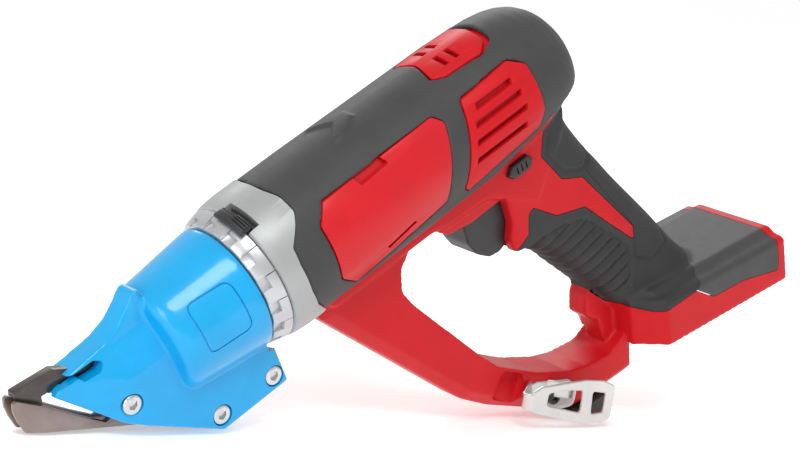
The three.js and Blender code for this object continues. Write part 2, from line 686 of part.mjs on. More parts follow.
function clipScrew() {
  return pin(-15.3, -4, 1.6, 141.8, -165, 8).add(pin(-17.6, -15.2, 4, 141.8, -165));
}

// Its sole lies in the plane that the tool stands on.
function bumper() {
  const fall = Math.tan(THREE.MathUtils.degToRad(REST_PITCH));
  const [start, end] = [155.5, 168];
  const low = -191.2;
  const profile = [
    [144, -179.2], [start, low], [end, low - fall * (end - start)], [172, -199.3], [181, -191], [158, -187.9],
  ];
  return plate(profile, -BUMPER_HALF, BUMPER_HALF).subtract(plate(grown([...GUARD_OUTER, ...GUARD_INNER], GAP), -20, 20));
}

// --- Assembly -----------------------------------------------------------------------------

function handed(name, make, material) {
  return [piece(`left_${name}`, make(-1), material), piece(`right_${name}`, make(1), material)];
}

function housingPieces() {
  const whole = clamshell();
  return [
    ...handed('housing', (side) => whole.intersect(halfSpace(side)), RED),
    ...handed('barrel_skin', barrelSkin, DARK),
    ...handed('handle_grip', handleGrip, DARK),
    ...handed('foot_cover', footCover, FOOT_GREY),
    ...handed('badge_panel', badgePanel, RED),
    ...handed('vent_panel', ventPanel, RED),
    piece('top_vent', topVent(), RED),
    ...HOUSING_SCREWS.map(([x, z, half], i) => piece(`housing_screw_${i + 1}`, housingScrew(x, z, half), BLACK)),
  ];
}

function headPieces() {
  return [
    piece('head_casting', headCasting(), BLUE),
    piece('index_ring', indexRing(), COLLAR_METAL),
    ...handed('side_blade', sideBlade, BLADE_STEEL),
    piece('blade_spacer', bladeSpacer(), BLADE_STEEL),
    piece('centre_blade', centreBlade(), DARK_STEEL),
    piece('pivot_pin', pivotPin(), BRIGHT_STEEL),
    ...BLADE_SCREWS.map(([x, z], i) => piece(`blade_screw_${i + 1}`, bladeScrew(x, z), BRIGHT_STEEL)),
    ...BLADE_SCREWS.map(([x, z], i) => piece(`blade_nut_${i + 1}`, bladeNut(x, z), BRIGHT_STEEL)),
  ];
}

function drivePieces() {
  const halfTooth = Math.PI / LAY_TEETH;
  const halfPinionTooth = Math.PI / LAY_PINION_TEETH;
  return [
    piece('gear_case', gearCase(), GREY_METAL),
    piece('lock_lever', lockLever(), BLACK),
    piece('crank_shaft', crankShaft(), BRIGHT_STEEL),
    piece('crank_gear', gear(CRANK_TEETH, 24, 31, 5.2, 0, 0, DOWN), BRIGHT_STEEL),
    piece('eccentric_bearing', ring(-12, -4.6, 4.6, 8.5, 24, 0, ECCENTRIC), BRIGHT_STEEL),
    piece('crank_bearing', ring(CASE_FRONT + 0.5, 20, 7 + RUNNING, 14.3, 24), BRIGHT_STEEL),
    piece('gear_plate', gearPlate(), GREY_METAL),
    piece('lay_shaft', rod(23, 49, LAY_SHAFT_R, 18, 0, LAY_Z), BRIGHT_STEEL),
    piece('lay_pinion', gear(LAY_PINION_TEETH, 23.5, 31.5, LAY_SHAFT_R + 0.1, 0, LAY_Z, UP + halfPinionTooth), BRIGHT_STEEL),
    piece('lay_gear', gear(LAY_TEETH, 41, 47, LAY_SHAFT_R + 0.1, 0, LAY_Z, UP + halfTooth), BRIGHT_STEEL),
    piece('motor_pinion', gear(MOTOR_TEETH, 40.5, 47.5, 2.1, 0, 0, DOWN), BRIGHT_STEEL),
  ];
}

function motorPieces() {
  return [
    piece('motor_plate', motorPlate(), GREY_METAL),
    piece('motor_shaft', motorShaft().add(rod(40.5, 49, 2)), BRIGHT_STEEL),
    piece('front_motor_bearing', ring(59.3, 64, 4 + RUNNING, 11.1, 24), BRIGHT_STEEL),
    piece('cooling_fan', coolingFan(), BLACK),
    piece('armature', armature(), COPPER),
    piece('commutator', ring(147, 158, 4.2, 11, 24), COPPER),
    piece('motor_can', ring(84, 145, 24.4, 30), DARK_STEEL),
    piece('brush_holder', brushHolder(), BLACK),
    piece('rear_motor_bearing', ring(180, 187, 4 + RUNNING, 9, 24), BRIGHT_STEEL),
  ];
}

function handlePieces() {
  return [
    piece('trigger', trigger(), BLACK),
    piece('switch_body', switchBody(), BLACK),
    piece('lock_button', lockButton(), BLACK),
    piece('terminal_block', terminalBlock(), BLACK),
    piece('positive_contact', contact(-12.5), COPPER),
    piece('negative_contact', contact(12.5), COPPER),
    piece('belt_clip', beltClip(), BRIGHT_STEEL),
    piece('clip_screw', clipScrew(), BLACK),
    piece('guard_bumper', bumper(), BLACK),
  ];
}

const tool = new THREE.Group();
tool.add(...housingPieces(), ...headPieces(), ...drivePieces(), ...motorPieces(), ...handlePieces());
tool.rotation.y = -THREE.MathUtils.degToRad(REST_PITCH);
tool.updateMatrixWorld(true);

// The frame's origin is the middle of the footprint, on the surface that the tool stands on.
const reach = new THREE.Box3().setFromObject(tool, true);
const middle = reach.getCenter(new THREE.Vector3());
tool.position.set(-middle.x, -middle.y, -reach.min.z);

export default tool;
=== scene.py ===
"""Looks of a cordless double-cut metal shear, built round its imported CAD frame.

Shapes are drawn in the barrel's own axes, in millimetres: X runs back along the barrel from
the end of the head, Z is up with the barrel level, and -Y is the tool's left side.
"""

import json
import math

import bmesh
import bpy
import numpy as np
from mathutils import Matrix, Vector
from mathutils.geometry import tessellate_polygon


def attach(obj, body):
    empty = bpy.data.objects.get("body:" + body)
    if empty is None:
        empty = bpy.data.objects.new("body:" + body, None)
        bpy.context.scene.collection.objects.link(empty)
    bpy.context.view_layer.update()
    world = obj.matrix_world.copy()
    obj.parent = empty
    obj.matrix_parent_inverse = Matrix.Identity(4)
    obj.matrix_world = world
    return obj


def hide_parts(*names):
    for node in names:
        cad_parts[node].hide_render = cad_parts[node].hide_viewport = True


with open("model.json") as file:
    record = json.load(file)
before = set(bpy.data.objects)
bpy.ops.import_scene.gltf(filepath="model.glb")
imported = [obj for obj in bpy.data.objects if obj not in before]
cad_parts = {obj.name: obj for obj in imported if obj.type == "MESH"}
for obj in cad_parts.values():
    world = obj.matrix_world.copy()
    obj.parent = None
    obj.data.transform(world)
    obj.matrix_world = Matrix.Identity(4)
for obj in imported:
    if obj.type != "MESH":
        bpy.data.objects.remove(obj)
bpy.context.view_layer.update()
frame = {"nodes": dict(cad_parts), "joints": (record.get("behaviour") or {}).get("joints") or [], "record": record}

SWIVEL = next(j for j in frame["joints"] if j["name"] == "head_swivel")
PITCH = math.atan2(SWIVEL["axis"][2], SWIVEL["axis"][0])
TOOL = Matrix.Translation(Vector(SWIVEL["pos_m"])) @ Matrix.Rotation(-PITCH, 4, "Y")
TOOL = TOOL @ Matrix.Scale(0.001, 4)
FOOT = Matrix.Translation(Vector((305.6, 0, -164.4))) @ Matrix.Rotation(math.radians(12.2), 4, "Y")

SIDES = (("left", -1), ("right", 1))


# ---------------------------------------------------------------- mesh tools

def solid(name, verts, faces):
    mesh = bpy.data.meshes.new(name)
    mesh.from_pydata([tuple(v) for v in verts], [], faces)
    bm = bmesh.new()
    bm.from_mesh(mesh)
    bmesh.ops.remove_doubles(bm, verts=bm.verts, dist=1e-5)
    bmesh.ops.recalc_face_normals(bm, faces=bm.faces)
    bm.to_mesh(mesh)
    bm.free()
    obj = bpy.data.objects.new(name, mesh)
    bpy.context.scene.collection.objects.link(obj)
    return obj


def loft(name, rings, closed=False, split=False):
    """Quads between rings of equal count, with flat ends unless the rings close on themselves."""
    count = len(rings[0])
    verts = [p for ring in rings for p in ring]
    faces = []
    spans = len(rings) if closed else len(rings) - 1
    for i in range(spans):
        a, b = i * count, ((i + 1) % len(rings)) * count
        for k in range(count):
            n = (k + 1) % count
            faces.append((a + k, a + n, b + n, b + k))
    if split:
        for i in (0, len(rings) - 1):
            ends = tessellate_polygon([[Vector(p) for p in rings[i]]])
            faces += [tuple(i * count + k for k in triangle) for triangle in ends]
    elif not closed:
        faces.append(tuple(range(count)))
        faces.append(tuple(range((len(rings) - 1) * count, len(rings) * count)))
    return solid(name, verts, faces)


def prism(name, points, low, high):
    """A side-view outline of (x, z) points, solid from y = low to y = high."""
    return loft(name, [[(x, y, z) for x, z in points] for y in (low, high)])


def plan_prism(name, points, low, high, matrix=None):
    rings = [[Vector((x, y, z)) for x, y in points] for z in (low, high)]
    if matrix:
        rings = [[matrix @ p for p in ring] for ring in rings]
    return loft(name, rings)


def bar(name, points, low, high):
    """A front-view section of (y, z) points, solid from x = low to x = high."""
    return loft(name, [[(x, y, z) for y, z in points] for x in (low, high)])


def block(name, low, high, matrix=None):
    points = [(low[0], low[1]), (high[0], low[1]), (high[0], high[1]), (low[0], high[1])]
    return plan_prism(name, points, low[2], high[2], matrix)


def lathe(name, profile, segments=128, y=0.0, z=0.0):
    """(x, radius) points turned about a line along the barrel; a profile off the axis closes on itself."""
    rings = []
    for k in range(segments):
        a = 2 * math.pi * k / segments
        rings.append([(x, y + r * math.cos(a), z + r * math.sin(a)) for x, r in profile])
    count = len(profile)
    verts = [p for ring in rings for p in ring]
    faces = []
    on_axis = profile[0][1] == 0
    for k in range(segments):
        a, b = k * count, ((k + 1) % segments) * count
        for i in range(count - 1 if on_axis else count):
            j = (i + 1) % count
            faces.append((a + i, a + j, b + j, b + i))
    obj = solid(name, verts, faces)
    tidy_degenerate(obj)
    return obj


def tidy_degenerate(obj):
    bm = bmesh.new()
    bm.from_mesh(obj.data)
    bmesh.ops.remove_doubles(bm, verts=bm.verts, dist=1e-4)
    bmesh.ops.dissolve_degenerate(bm, edges=bm.edges, dist=1e-5)
    bmesh.ops.recalc_face_normals(bm, faces=bm.faces)
    bm.to_mesh(obj.data)
    bm.free()


def circle(x, z, r, count):
    turns = [2 * math.pi * k / count for k in range(count)]
    return [(x + r * math.cos(a), z + r * math.sin(a)) for a in turns]


def pin(name, x, z, r, low, high):
    return prism(name, circle(x, z, r, 40), low, high)


def apply_all(obj):
    bpy.context.view_layer.update()
    graph = bpy.context.evaluated_depsgraph_get()
    mesh = bpy.data.meshes.new_from_object(obj.evaluated_get(graph))
    obj.modifiers.clear()
    old = obj.data
    obj.data = mesh
    bpy.data.meshes.remove(old)
    return obj


def discard(obj):
    mesh = obj.data
    bpy.data.objects.remove(obj)
    bpy.data.meshes.remove(mesh)


def carve(obj, tools, operation="DIFFERENCE"):
    """One boolean after another. The tools are used up."""
    for tool in tools:
        m = obj.modifiers.new("cut", "BOOLEAN")
        m.operation = operation
        m.solver = "MANIFOLD"
        m.object = tool
        apply_all(obj)
        discard(tool)
    return obj


def both(obj, tool):
    return carve(obj, [tool], "INTERSECT")


def weld(name, parts):
    """Several closed solids as one mesh, to be fused by a voxel remesh."""
    bm = bmesh.new()
    for part in parts:
        bm.from_mesh(part.data)
        discard(part)
    mesh = bpy.data.meshes.new(name)
    bm.to_mesh(mesh)
    bm.free()
    obj = bpy.data.objects.new(name, mesh)
    bpy.context.scene.collection.objects.link(obj)
    return obj


def cast(obj, voxel, rounds):
    """Fuses and softens a solid, the way a moulded or cast part has no truly sharp edge."""
    m = obj.modifiers.new("fuse", "REMESH")
    m.mode = "VOXEL"
    m.voxel_size = voxel
    m.adaptivity = 0
    s = obj.modifiers.new("soften", "SMOOTH")
    s.factor = 0.5
    s.iterations = rounds
    return apply_all(obj)


def bevelled(obj, width, segments=3, angle=32):
    m = obj.modifiers.new("edge", "BEVEL")
    m.width = width
    m.segments = segments
    m.limit_method = "ANGLE"
    m.angle_limit = math.radians(angle)
    m.use_clamp_overlap = True
    return apply_all(obj)


def copy_of(obj, name):
    new = obj.copy()
    new.data = obj.data.copy()
    new.name = name
    bpy.context.scene.collection.objects.link(new)
    return new


def mirrored(obj, name):
    new = copy_of(obj, name)
    new.data.transform(Matrix.Scale(-1, 4, (0, 1, 0)))
    new.data.flip_normals()
    return new


def rounded(points, radius, steps=5):
    """The outline with each corner turned into an arc; a point may carry its own radius."""
    result = []
    count = len(points)
    for i, p in enumerate(points):
        own = p[2] if len(p) > 2 else radius
        here = Vector(p[:2])
        back, ahead = Vector(points[i - 1][:2]) - here, Vector(points[(i + 1) % count][:2]) - here
        half = back.angle(ahead) / 2
        reach = min(own / max(math.tan(half), 1e-3), 0.48 * back.length, 0.48 * ahead.length)
        if own <= 0 or half > math.radians(88):
            result.append(tuple(here))
            continue
        start, end = here + back.normalized() * reach, here + ahead.normalized() * reach
        for k in range(steps + 1):
            t = k / steps
            result.append(tuple((1 - t) ** 2 * start + 2 * t * (1 - t) * here + t * t * end))
    return result


SHARPEST = 0.7


def grown(points, by):
    """The outline moved outwards by a set distance; SHARPEST keeps acute corners from running away."""
    count = len(points)
    area = sum(points[i - 1][0] * points[i][1] - points[i][0] * points[i - 1][1] for i in range(count))
    turn = 1 if area > 0 else -1
    result = []
    for i in range(count):
        a, p, b = Vector(points[i - 1][:2]), Vector(points[i][:2]), Vector(points[(i + 1) % count][:2])
        n1 = Vector(((p - a).y, -(p - a).x)).normalized() * turn
        n2 = Vector(((b - p).y, -(b - p).x)).normalized() * turn
        result.append(tuple(p + (n1 + n2) * (by / max(SHARPEST, 1 + n1.dot(n2)))))
    return result


def vertices(obj):
    co = np.empty(len(obj.data.vertices) * 3)
    obj.data.vertices.foreach_get("co", co)
    return co.reshape(-1, 3)


def set_vertices(obj, co):
    obj.data.vertices.foreach_set("co", co.ravel())
    obj.data.update()


def normals(obj):
    n = np.empty(len(obj.data.vertices) * 3)
    obj.data.vertices.foreach_get("normal", n)
    return n.reshape(-1, 3)


def inside_distance(co, polygon):
    """Signed distance in side view to a polygon of (x, z), positive inside."""
    x, z = co[:, 0], co[:, 2]
    best = np.full(len(x), 1e9)
    inside = np.zeros(len(x), bool)
    count = len(polygon)
    for i in range(count):
        (x1, z1), (x2, z2) = polygon[i][:2], polygon[(i + 1) % count][:2]
        dx, dz = x2 - x1, z2 - z1
        t = np.clip(((x - x1) * dx + (z - z1) * dz) / max(dx * dx + dz * dz, 1e-9), 0, 1)
        best = np.minimum(best, np.hypot(x - x1 - t * dx, z - z1 - t * dz))
        if z1 != z2:
            inside ^= ((z1 > z) != (z2 > z)) & (x < (x2 - x1) * (z - z1) / (z2 - z1) + x1)
    return np.where(inside, best, -best)


def smoothstep(v, low, high):
    t = np.clip((v - low) / (high - low), 0, 1)
    return t * t * (3 - 2 * t)


def finish(obj, name, body, material, nodes=(), sharp=35):
    """Puts a piece in the frame: its place, its material, the body it rides on, the nodes it stands for."""
    obj.name = name
    obj.data.name = name
    obj.data.transform(TOOL)
    obj.data.polygons.foreach_set("use_smooth", [True] * len(obj.data.polygons))
    obj.data.set_sharp_from_angle(angle=math.radians(sharp))
    obj.data.materials.clear()
    obj.data.materials.append(material)
    for polygon in obj.data.polygons:
        polygon.material_index = 0
    obj.data.update()
    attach(obj, body)
    if nodes:
        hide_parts(*nodes)
    return obj


# ---------------------------------------------------------------- materials

def new_material(name):
    mat = bpy.data.materials.new(name)
    mat.use_nodes = True
    nodes, links = mat.node_tree.nodes, mat.node_tree.links
    nodes.clear()
    out = nodes.new("ShaderNodeOutputMaterial")
    shader = nodes.new("ShaderNodeBsdfPrincipled")
    links.new(shader.outputs[0], out.inputs[0])
    coords = nodes.new("ShaderNodeTexCoord")
    return mat, nodes, links, shader, coords.outputs["Object"]


def noise_node(nodes, links, source, scale, detail=3, rough=0.5, stretch=None):
    tex = nodes.new("ShaderNodeTexNoise")
    tex.inputs["Scale"].default_value = scale
    tex.inputs["Detail"].default_value = detail
    tex.inputs["Roughness"].default_value = rough
    if stretch:
        mapping = nodes.new("ShaderNodeMapping")
        mapping.inputs["Rotation"].default_value = (0, PITCH, 0)
        mapping.inputs["Scale"].default_value = stretch
        links.new(source, mapping.inputs[0])
        source = mapping.outputs[0]
    links.new(source, tex.inputs["Vector"])
    return tex.outputs["Fac"]


def ramp(nodes, links, source, stops):
    node = nodes.new("ShaderNodeValToRGB")
    while len(node.color_ramp.elements) < len(stops):
        node.color_ramp.elements.new(0.5)
    for element, (at, colour) in zip(node.color_ramp.elements, stops):
        element.position = at
        element.color = (*colour, 1)
    links.new(source, node.inputs[0])
    return node.outputs[0]


def span(nodes, links, source, low, high):
    node = nodes.new("ShaderNodeMapRange")
    node.inputs["To Min"].default_value = low
    node.inputs["To Max"].default_value = high
    links.new(source, node.inputs[0])
    return node.outputs[0]


def bump(nodes, links, height, strength, distance, after=None):
    node = nodes.new("ShaderNodeBump")
    node.inputs["Strength"].default_value = strength
    node.inputs["Distance"].default_value = distance
    links.new(height, node.inputs["Height"])
    if after:
        links.new(after, node.inputs["Normal"])
    return node.outputs[0]


def surface(name, colour, vary, rough, rough_vary, grain, grain_mm, depth_mm, metal=0.0, specular=0.5,
            coat=0.0, coat_rough=0.1, broad=60.0, stretch=None, wave=0.0, sheen=0.0):
    """A moulded, painted or metal surface: broad colour drift, uneven gloss and a fine grain."""
    mat, nodes, links, shader, source = new_material(name)
    drift = noise_node(nodes, links, source, broad, 4, 0.55)
    dark = tuple(c * (1 - vary) for c in colour)
    light = tuple(min(1.0, c * (1 + vary)) for c in colour)
    links.new(ramp(nodes, links, drift, [(0.3, dark), (0.7, light)]), shader.inputs["Base Color"])
    smear = noise_node(nodes, links, source, broad * 3, 5, 0.6, stretch)
    links.new(span(nodes, links, smear, rough - rough_vary, rough + rough_vary),
              shader.inputs["Roughness"])
    fine = noise_node(nodes, links, source, 1000.0 / grain_mm, 2, 0.5, stretch)
    normal = bump(nodes, links, fine, grain, depth_mm * 0.001)
    if wave:
        slow = noise_node(nodes, links, source, 220, 2, 0.5)
        normal = bump(nodes, links, slow, wave, 0.0006, normal)
    links.new(normal, shader.inputs["Normal"])
    shader.inputs["Metallic"].default_value = metal
    shader.inputs["Specular IOR Level"].default_value = specular
    shader.inputs["Coat Weight"].default_value = coat
    shader.inputs["Coat Roughness"].default_value = coat_rough
    shader.inputs["Sheen Weight"].default_value = sheen
    return mat


RED = surface("red_moulded_plastic", (0.56, 0.009, 0.014), vary=0.05, rough=0.38, rough_vary=0.05,
              grain=0.25, grain_mm=0.7, depth_mm=0.05, specular=0.16, coat=0.04, coat_rough=0.25)
RED_BADGE = surface("red_badge_plastic", (0.60, 0.011, 0.017), vary=0.04, rough=0.32, rough_vary=0.04,
                    grain=0.15, grain_mm=0.8, depth_mm=0.04, specular=0.24, coat=0.10, coat_rough=0.2)
SKIN = surface("barrel_rubber_skin", (0.050, 0.050, 0.051), vary=0.10, rough=0.52, rough_vary=0.06,
               grain=0.5, grain_mm=0.45, depth_mm=0.08, specular=0.32, sheen=0.03)
# The handle rubber is the barrel's rubber made darker: the darkness is painted shade, for the handle lying in
# shadow.
SHADED_GRIP_RUBBER = surface("handle_rubber_painted_shade", (0.030, 0.030, 0.031), vary=0.12, rough=0.55, rough_vary=0.06,
               grain=0.6, grain_mm=0.5, depth_mm=0.10, specular=0.34)
# The foot cover is the handle's rubber made lighter: the extra lightness is a painted highlight, for the light
# falling on the foot's top.
LIT_COVER_RUBBER = surface("foot_cover_rubber_painted_light", (0.046, 0.046, 0.047), vary=0.10, rough=0.50, rough_vary=0.06,
                grain=0.7, grain_mm=0.35, depth_mm=0.12, specular=0.5)
BLUE = surface("blue_gloss_paint", (0.001, 0.365, 0.740), vary=0.05, rough=0.30, rough_vary=0.05,
               grain=0.15, grain_mm=1.2, depth_mm=0.08, specular=0.25, coat=0.55, coat_rough=0.10,
               wave=0.28)
CASE = surface("grey_cast_case", (0.40, 0.41, 0.41), vary=0.06, rough=0.42, rough_vary=0.06, grain=0.35,
               grain_mm=0.5, depth_mm=0.06, metal=0.35, specular=0.5)
COLLAR = surface("satin_index_ring", (0.56, 0.57, 0.58), vary=0.06, rough=0.34, rough_vary=0.06,
                 grain=0.25, grain_mm=0.4, depth_mm=0.03, metal=0.75, stretch=(1, 0.2, 0.2))
SIDE_STEEL = surface("side_blade_steel", (0.30, 0.235, 0.215), vary=0.14, rough=0.36, rough_vary=0.10,
                     grain=0.35, grain_mm=0.35, depth_mm=0.05, metal=0.85, stretch=(0.12, 1, 1), broad=90)
DARK_STEEL = surface("centre_blade_steel", (0.10, 0.088, 0.082), vary=0.20, rough=0.32, rough_vary=0.10,
                     grain=0.3, grain_mm=0.35, depth_mm=0.05, metal=0.85, stretch=(0.12, 1, 1), broad=90)
CHROME = surface("bright_screw_steel", (0.66, 0.66, 0.66), vary=0.08, rough=0.24, rough_vary=0.06,
                 grain=0.2, grain_mm=0.4, depth_mm=0.03, metal=1.0, broad=200)
CLIP_STEEL = surface("brushed_clip_steel", (0.66, 0.66, 0.65), vary=0.05, rough=0.30, rough_vary=0.08,
                     grain=0.3, grain_mm=0.3, depth_mm=0.03, metal=0.9, stretch=(0.08, 1, 1))
BLACK = surface("black_moulded_plastic", (0.022, 0.022, 0.023), vary=0.15, rough=0.40, rough_vary=0.06,
                grain=0.4, grain_mm=0.5, depth_mm=0.06, specular=0.5)
BUMPER = surface("bumper_rubber", (0.030, 0.030, 0.027), vary=0.12, rough=0.62, rough_vary=0.05,
                 grain=0.6, grain_mm=0.5, depth_mm=0.10)
GEAR = surface("machined_steel", (0.45, 0.45, 0.46), vary=0.08, rough=0.30, rough_vary=0.06, grain=0.3,
               grain_mm=0.4, depth_mm=0.03, metal=0.95)
IRON = surface("motor_iron", (0.09, 0.09, 0.095), vary=0.12, rough=0.45, rough_vary=0.08, grain=0.3,
               grain_mm=0.6, depth_mm=0.05, metal=0.6)
COPPER = surface("bare_copper", (0.62, 0.29, 0.15), vary=0.12, rough=0.30, rough_vary=0.08, grain=0.3,
                 grain_mm=0.5, depth_mm=0.04, metal=0.95)

SLOT_LOOK = {
    "red_plastic": RED, "dark_rubber": SKIN, "grey_plastic": SKIN, "blue_paint": BLUE, "grey_paint": CASE,
    "collar_metal": COLLAR, "blade_steel": SIDE_STEEL, "dark_steel": DARK_STEEL, "bright_steel": CHROME,
    "gear_steel": GEAR, "black_screw": BLACK, "black_plastic": BLACK, "motor_iron": IRON,
    "copper": COPPER,
}
for entry in frame["record"]["subparts"]:
    cad_node = frame["nodes"][entry["node"]]
    cad_node.data.materials.clear()
    cad_node.data.materials.append(SLOT_LOOK[entry["material_slot"]])


# ---------------------------------------------------------------- side-view outlines

BARREL_R, SKIN_R = 33.0, 35.5
PANEL_IN = 33.2
FAR = 70.0
PART_LINE, MID_GAP = 0.35, 0.03
HEAD_Z, FIN_HALF = -0.8, 14.75

GUARD_OUTER = [(32, -24, 2), (37.5, -42, 6), (94, -133, 10), (107, -147, 10), (130, -166.5, 10),
               (157, -186.5, 8), (200, -191.5, 5), (206, -174, 6)]
GUARD_INNER = [(206, -164, 1), (186, -170, 6), (169, -166, 5), (157, -160.5, 5), (138, -147, 6),
               (118, -128, 4), (110, -115, 4), (84, -65, 6), (80, -54, 5), (83.5, -43, 5), (93, -35, 4),
               (96, -26, 1)]
KEEL = [(36, -18), (36, -29), (42, -35), (104, -35.5, 4), (115, -38.2, 4), (140, -39.5, 4), (150, -46, 3),
        (168, -60), (196, -34), (201, -18)]
HOOD = [(104, -30), (109, -38.5, 3), (114, -43.5, 3), (128, -46.3, 3), (152, -46.3, 2), (168, -60),
        (190, -34), (190, -28)]
BADGE = [(49.3, 22.8, 2.5), (118.1, 24.2, 2.5), (121.8, 20.2, 2), (107.2, -13.7, 2.5), (51.2, -21.8, 2.5),
         (41.7, -12, 2.5), (41.7, 15.9, 3)]
VENT = [(135.4, 22.8, 3), (168.2, 24.3, 4), (175, 19.5, 3), (174, -3.5, 3), (169, -11.2, 3),
        (121.9, -17.6, 2), (119.7, -14.6, 2)]
CASE_EDGE = [(0, 60), (32.5, 60), (32.7, 35.0), (35.7, 32.0), (35.6, 26.4), (31.9, 22.6), (24.6, 16.4),
             (23.6, 8.8), (24.0, -5.6), (26.1, -15.9), (32.5, -25.5), (32.5, -60), (0, -60)]
SKIN_LOW = [(10, -60), (10, -25.4), (40, -25.2), (142, -23.0), (153, -18.4), (172, -14.6), (188, -10.2),
            (218, -6), (218, -60)]
GRIP_TOP = [(183.5, -20), (183, -27), (177.5, -38), (186, -57), (199, -64.5), (220.5, -109),
            (218, -116.5), (207, -100), (194, -79.5), (176, -73), (164, -60.5), (160.5, -62.5),
            (157, -72), (147, -75.5)]
DARK_LOW = [(142, -98), (166, -112), (180, -121.5), (187, -124.6), (190.6, -134.5), (197.8, -145.5),
            (209, -153)]


# ---------------------------------------------------------------- red clamshell, grip and foot

def superellipse(front, back, half, power, count=40):
    """A rounded section across the handle, from its front point to its back point."""
    fx, fz = front
    bx, bz = back
    ring = []
    for k in range(count):
        a = 2 * math.pi * k / count
        c, s = math.cos(a), math.sin(a)
        u = math.copysign(abs(c) ** (2 / power), c)
        v = math.copysign(abs(s) ** (2 / power), s)
        t = 0.5 + 0.5 * u
        ring.append((fx + (bx - fx) * t, half * v, fz + (bz - fz) * t))
    return ring


RUBBER_ZONE = GRIP_TOP + DARK_LOW + [(236, -156, 0), (259, -147, 0), (300, -120, 0), (215, 0), (196, -2)]
COVER_ZONE = [(236, -156.2, 0), (246, -167.4), (268.5, -172.5), (294, -183.5), (312, -160),
              (300, -120.2, 0), (259.1, -147.2, 0)]

HANDLE_SECTIONS = [((159, -26), (204, -14), 16.4), ((156, -44), (204.5, -32), 16.8),
                   ((152.5, -60), (211, -52), 17.0), ((149.5, -73), (219, -69), 17.3),
                   ((156, -82.5), (226.5, -86), 17.8), ((167.6, -93), (234.5, -103), 18.2),
                   ((176, -107), (241.5, -118), 18.4), ((185, -122), (247.5, -132), 18.8),
                   ((192, -134), (252, -142), 20.0), ((198, -146), (257, -151), 22.0),
                   ((203, -158), (264, -160), 25.0), ((206, -170), (268, -172), 27.0), ]


def handle_loft():
    dense = []
    pts = HANDLE_SECTIONS
    for i in range(len(pts) - 1):
        before, a, b, after = pts[max(i - 1, 0)], pts[i], pts[i + 1], pts[min(i + 2, len(pts) - 1)]
        for k in range(6):
            t = k / 6
            dense.append(tuple(blend_section(before, a, b, after, t)))
    dense.append(pts[-1])
    return loft("handle", [superellipse(f, b, h, 2.7) for f, b, h in dense])


def blend_section(p0, p1, p2, p3, t):
    flat = [np.array([*p[0], *p[1], p[2]], float) for p in (p0, p1, p2, p3)]
    a, b, c, d = flat
    v = 0.5 * (2 * b + (c - a) * t + (2 * a - 5 * b + 4 * c - d) * t * t + (3 * b - a - 3 * c + d) * t ** 3)
    return (v[0], v[1]), (v[2], v[3]), v[4]


def foot_section(x):
    """The foot's outline across its width at a distance x behind its rear edge, in its own frame."""
    widen = min(1.0, max(0.0, (x + 104) / 11))
    half = 19 + (35.3 - 19) * widen
    crown = 14 + (25.5 - 14) * widen
    ring = [(-half, -29.3), (-half, -5.2), (-half + 1.6, -3.6), (-crown - 2.6, -2.7), (-crown, -0.6),
            (-crown + 1.6, 0)]
    ring += [(-y, z) for y, z in reversed(ring)]
    return [tuple(FOOT @ Vector((x, y, z))) for y, z in ring]


def foot_loft():
    stations = [-104, -100, -96.5, -93, -88, -70, -50, -30, -10, 0]
    return loft("foot", [foot_section(x) for x in stations])


def guard_loop():
    """A filled shape with sloped outer corners, opened by the room for the hand."""
    full = rounded(GUARD_OUTER + [(206, -120, 4), (110, -24, 4)], 4)
    inset = grown(full, -6.2)
    layers = ((-14, inset), (-7.8, full), (7.8, full), (14, inset))
    loop = loft("guard", [[(x, y, z) for x, z in points] for y, points in layers], split=True)
    room = rounded(GUARD_INNER + [(130, 40), (330, -60), (260, -164)], 3)
    return carve(loop, [loft("hand", [[(x, y, z) for x, z in room] for y in (-20, 20)], split=True)])


def barrel_core():
    return lathe("core", [(41, 0), (41, BARREL_R), (172, 32.4), (188, 30.6), (199, 26.6), (206.5, 19),
                          (210.2, 10), (211.2, 0)], 96)


def scoop():
    """The shallow hollow in the guard's side in front of the belt clip."""
    tool = prism("scoop", rounded([(107, -141), (119, -131), (131, -142), (119, -156)], 4), -16, -10.6)
    return cast(tool, 1.0, 6)


def battery_bay():
    channel = block("bay", (-82, -31.8, -26.1), (20, 31.8, -9), FOOT)
    mouth = block("mouth", (-82, -28.6, -60), (20, 28.6, -25), FOOT)
    return [channel, mouth]


def trigger_lip():
    """The red wall that carries on down behind the trigger."""
    lip = prism("lip", rounded([(150, -40), (151, -50), (150.5, -61), (146.5, -69, 3), (146.5, -76.5, 4),
                                (156, -79, 4), (166, -80), (172, -60), (172, -40)], 3), -16.6, 16.6)
    return bevelled(lip, 3.0, 4, 40)


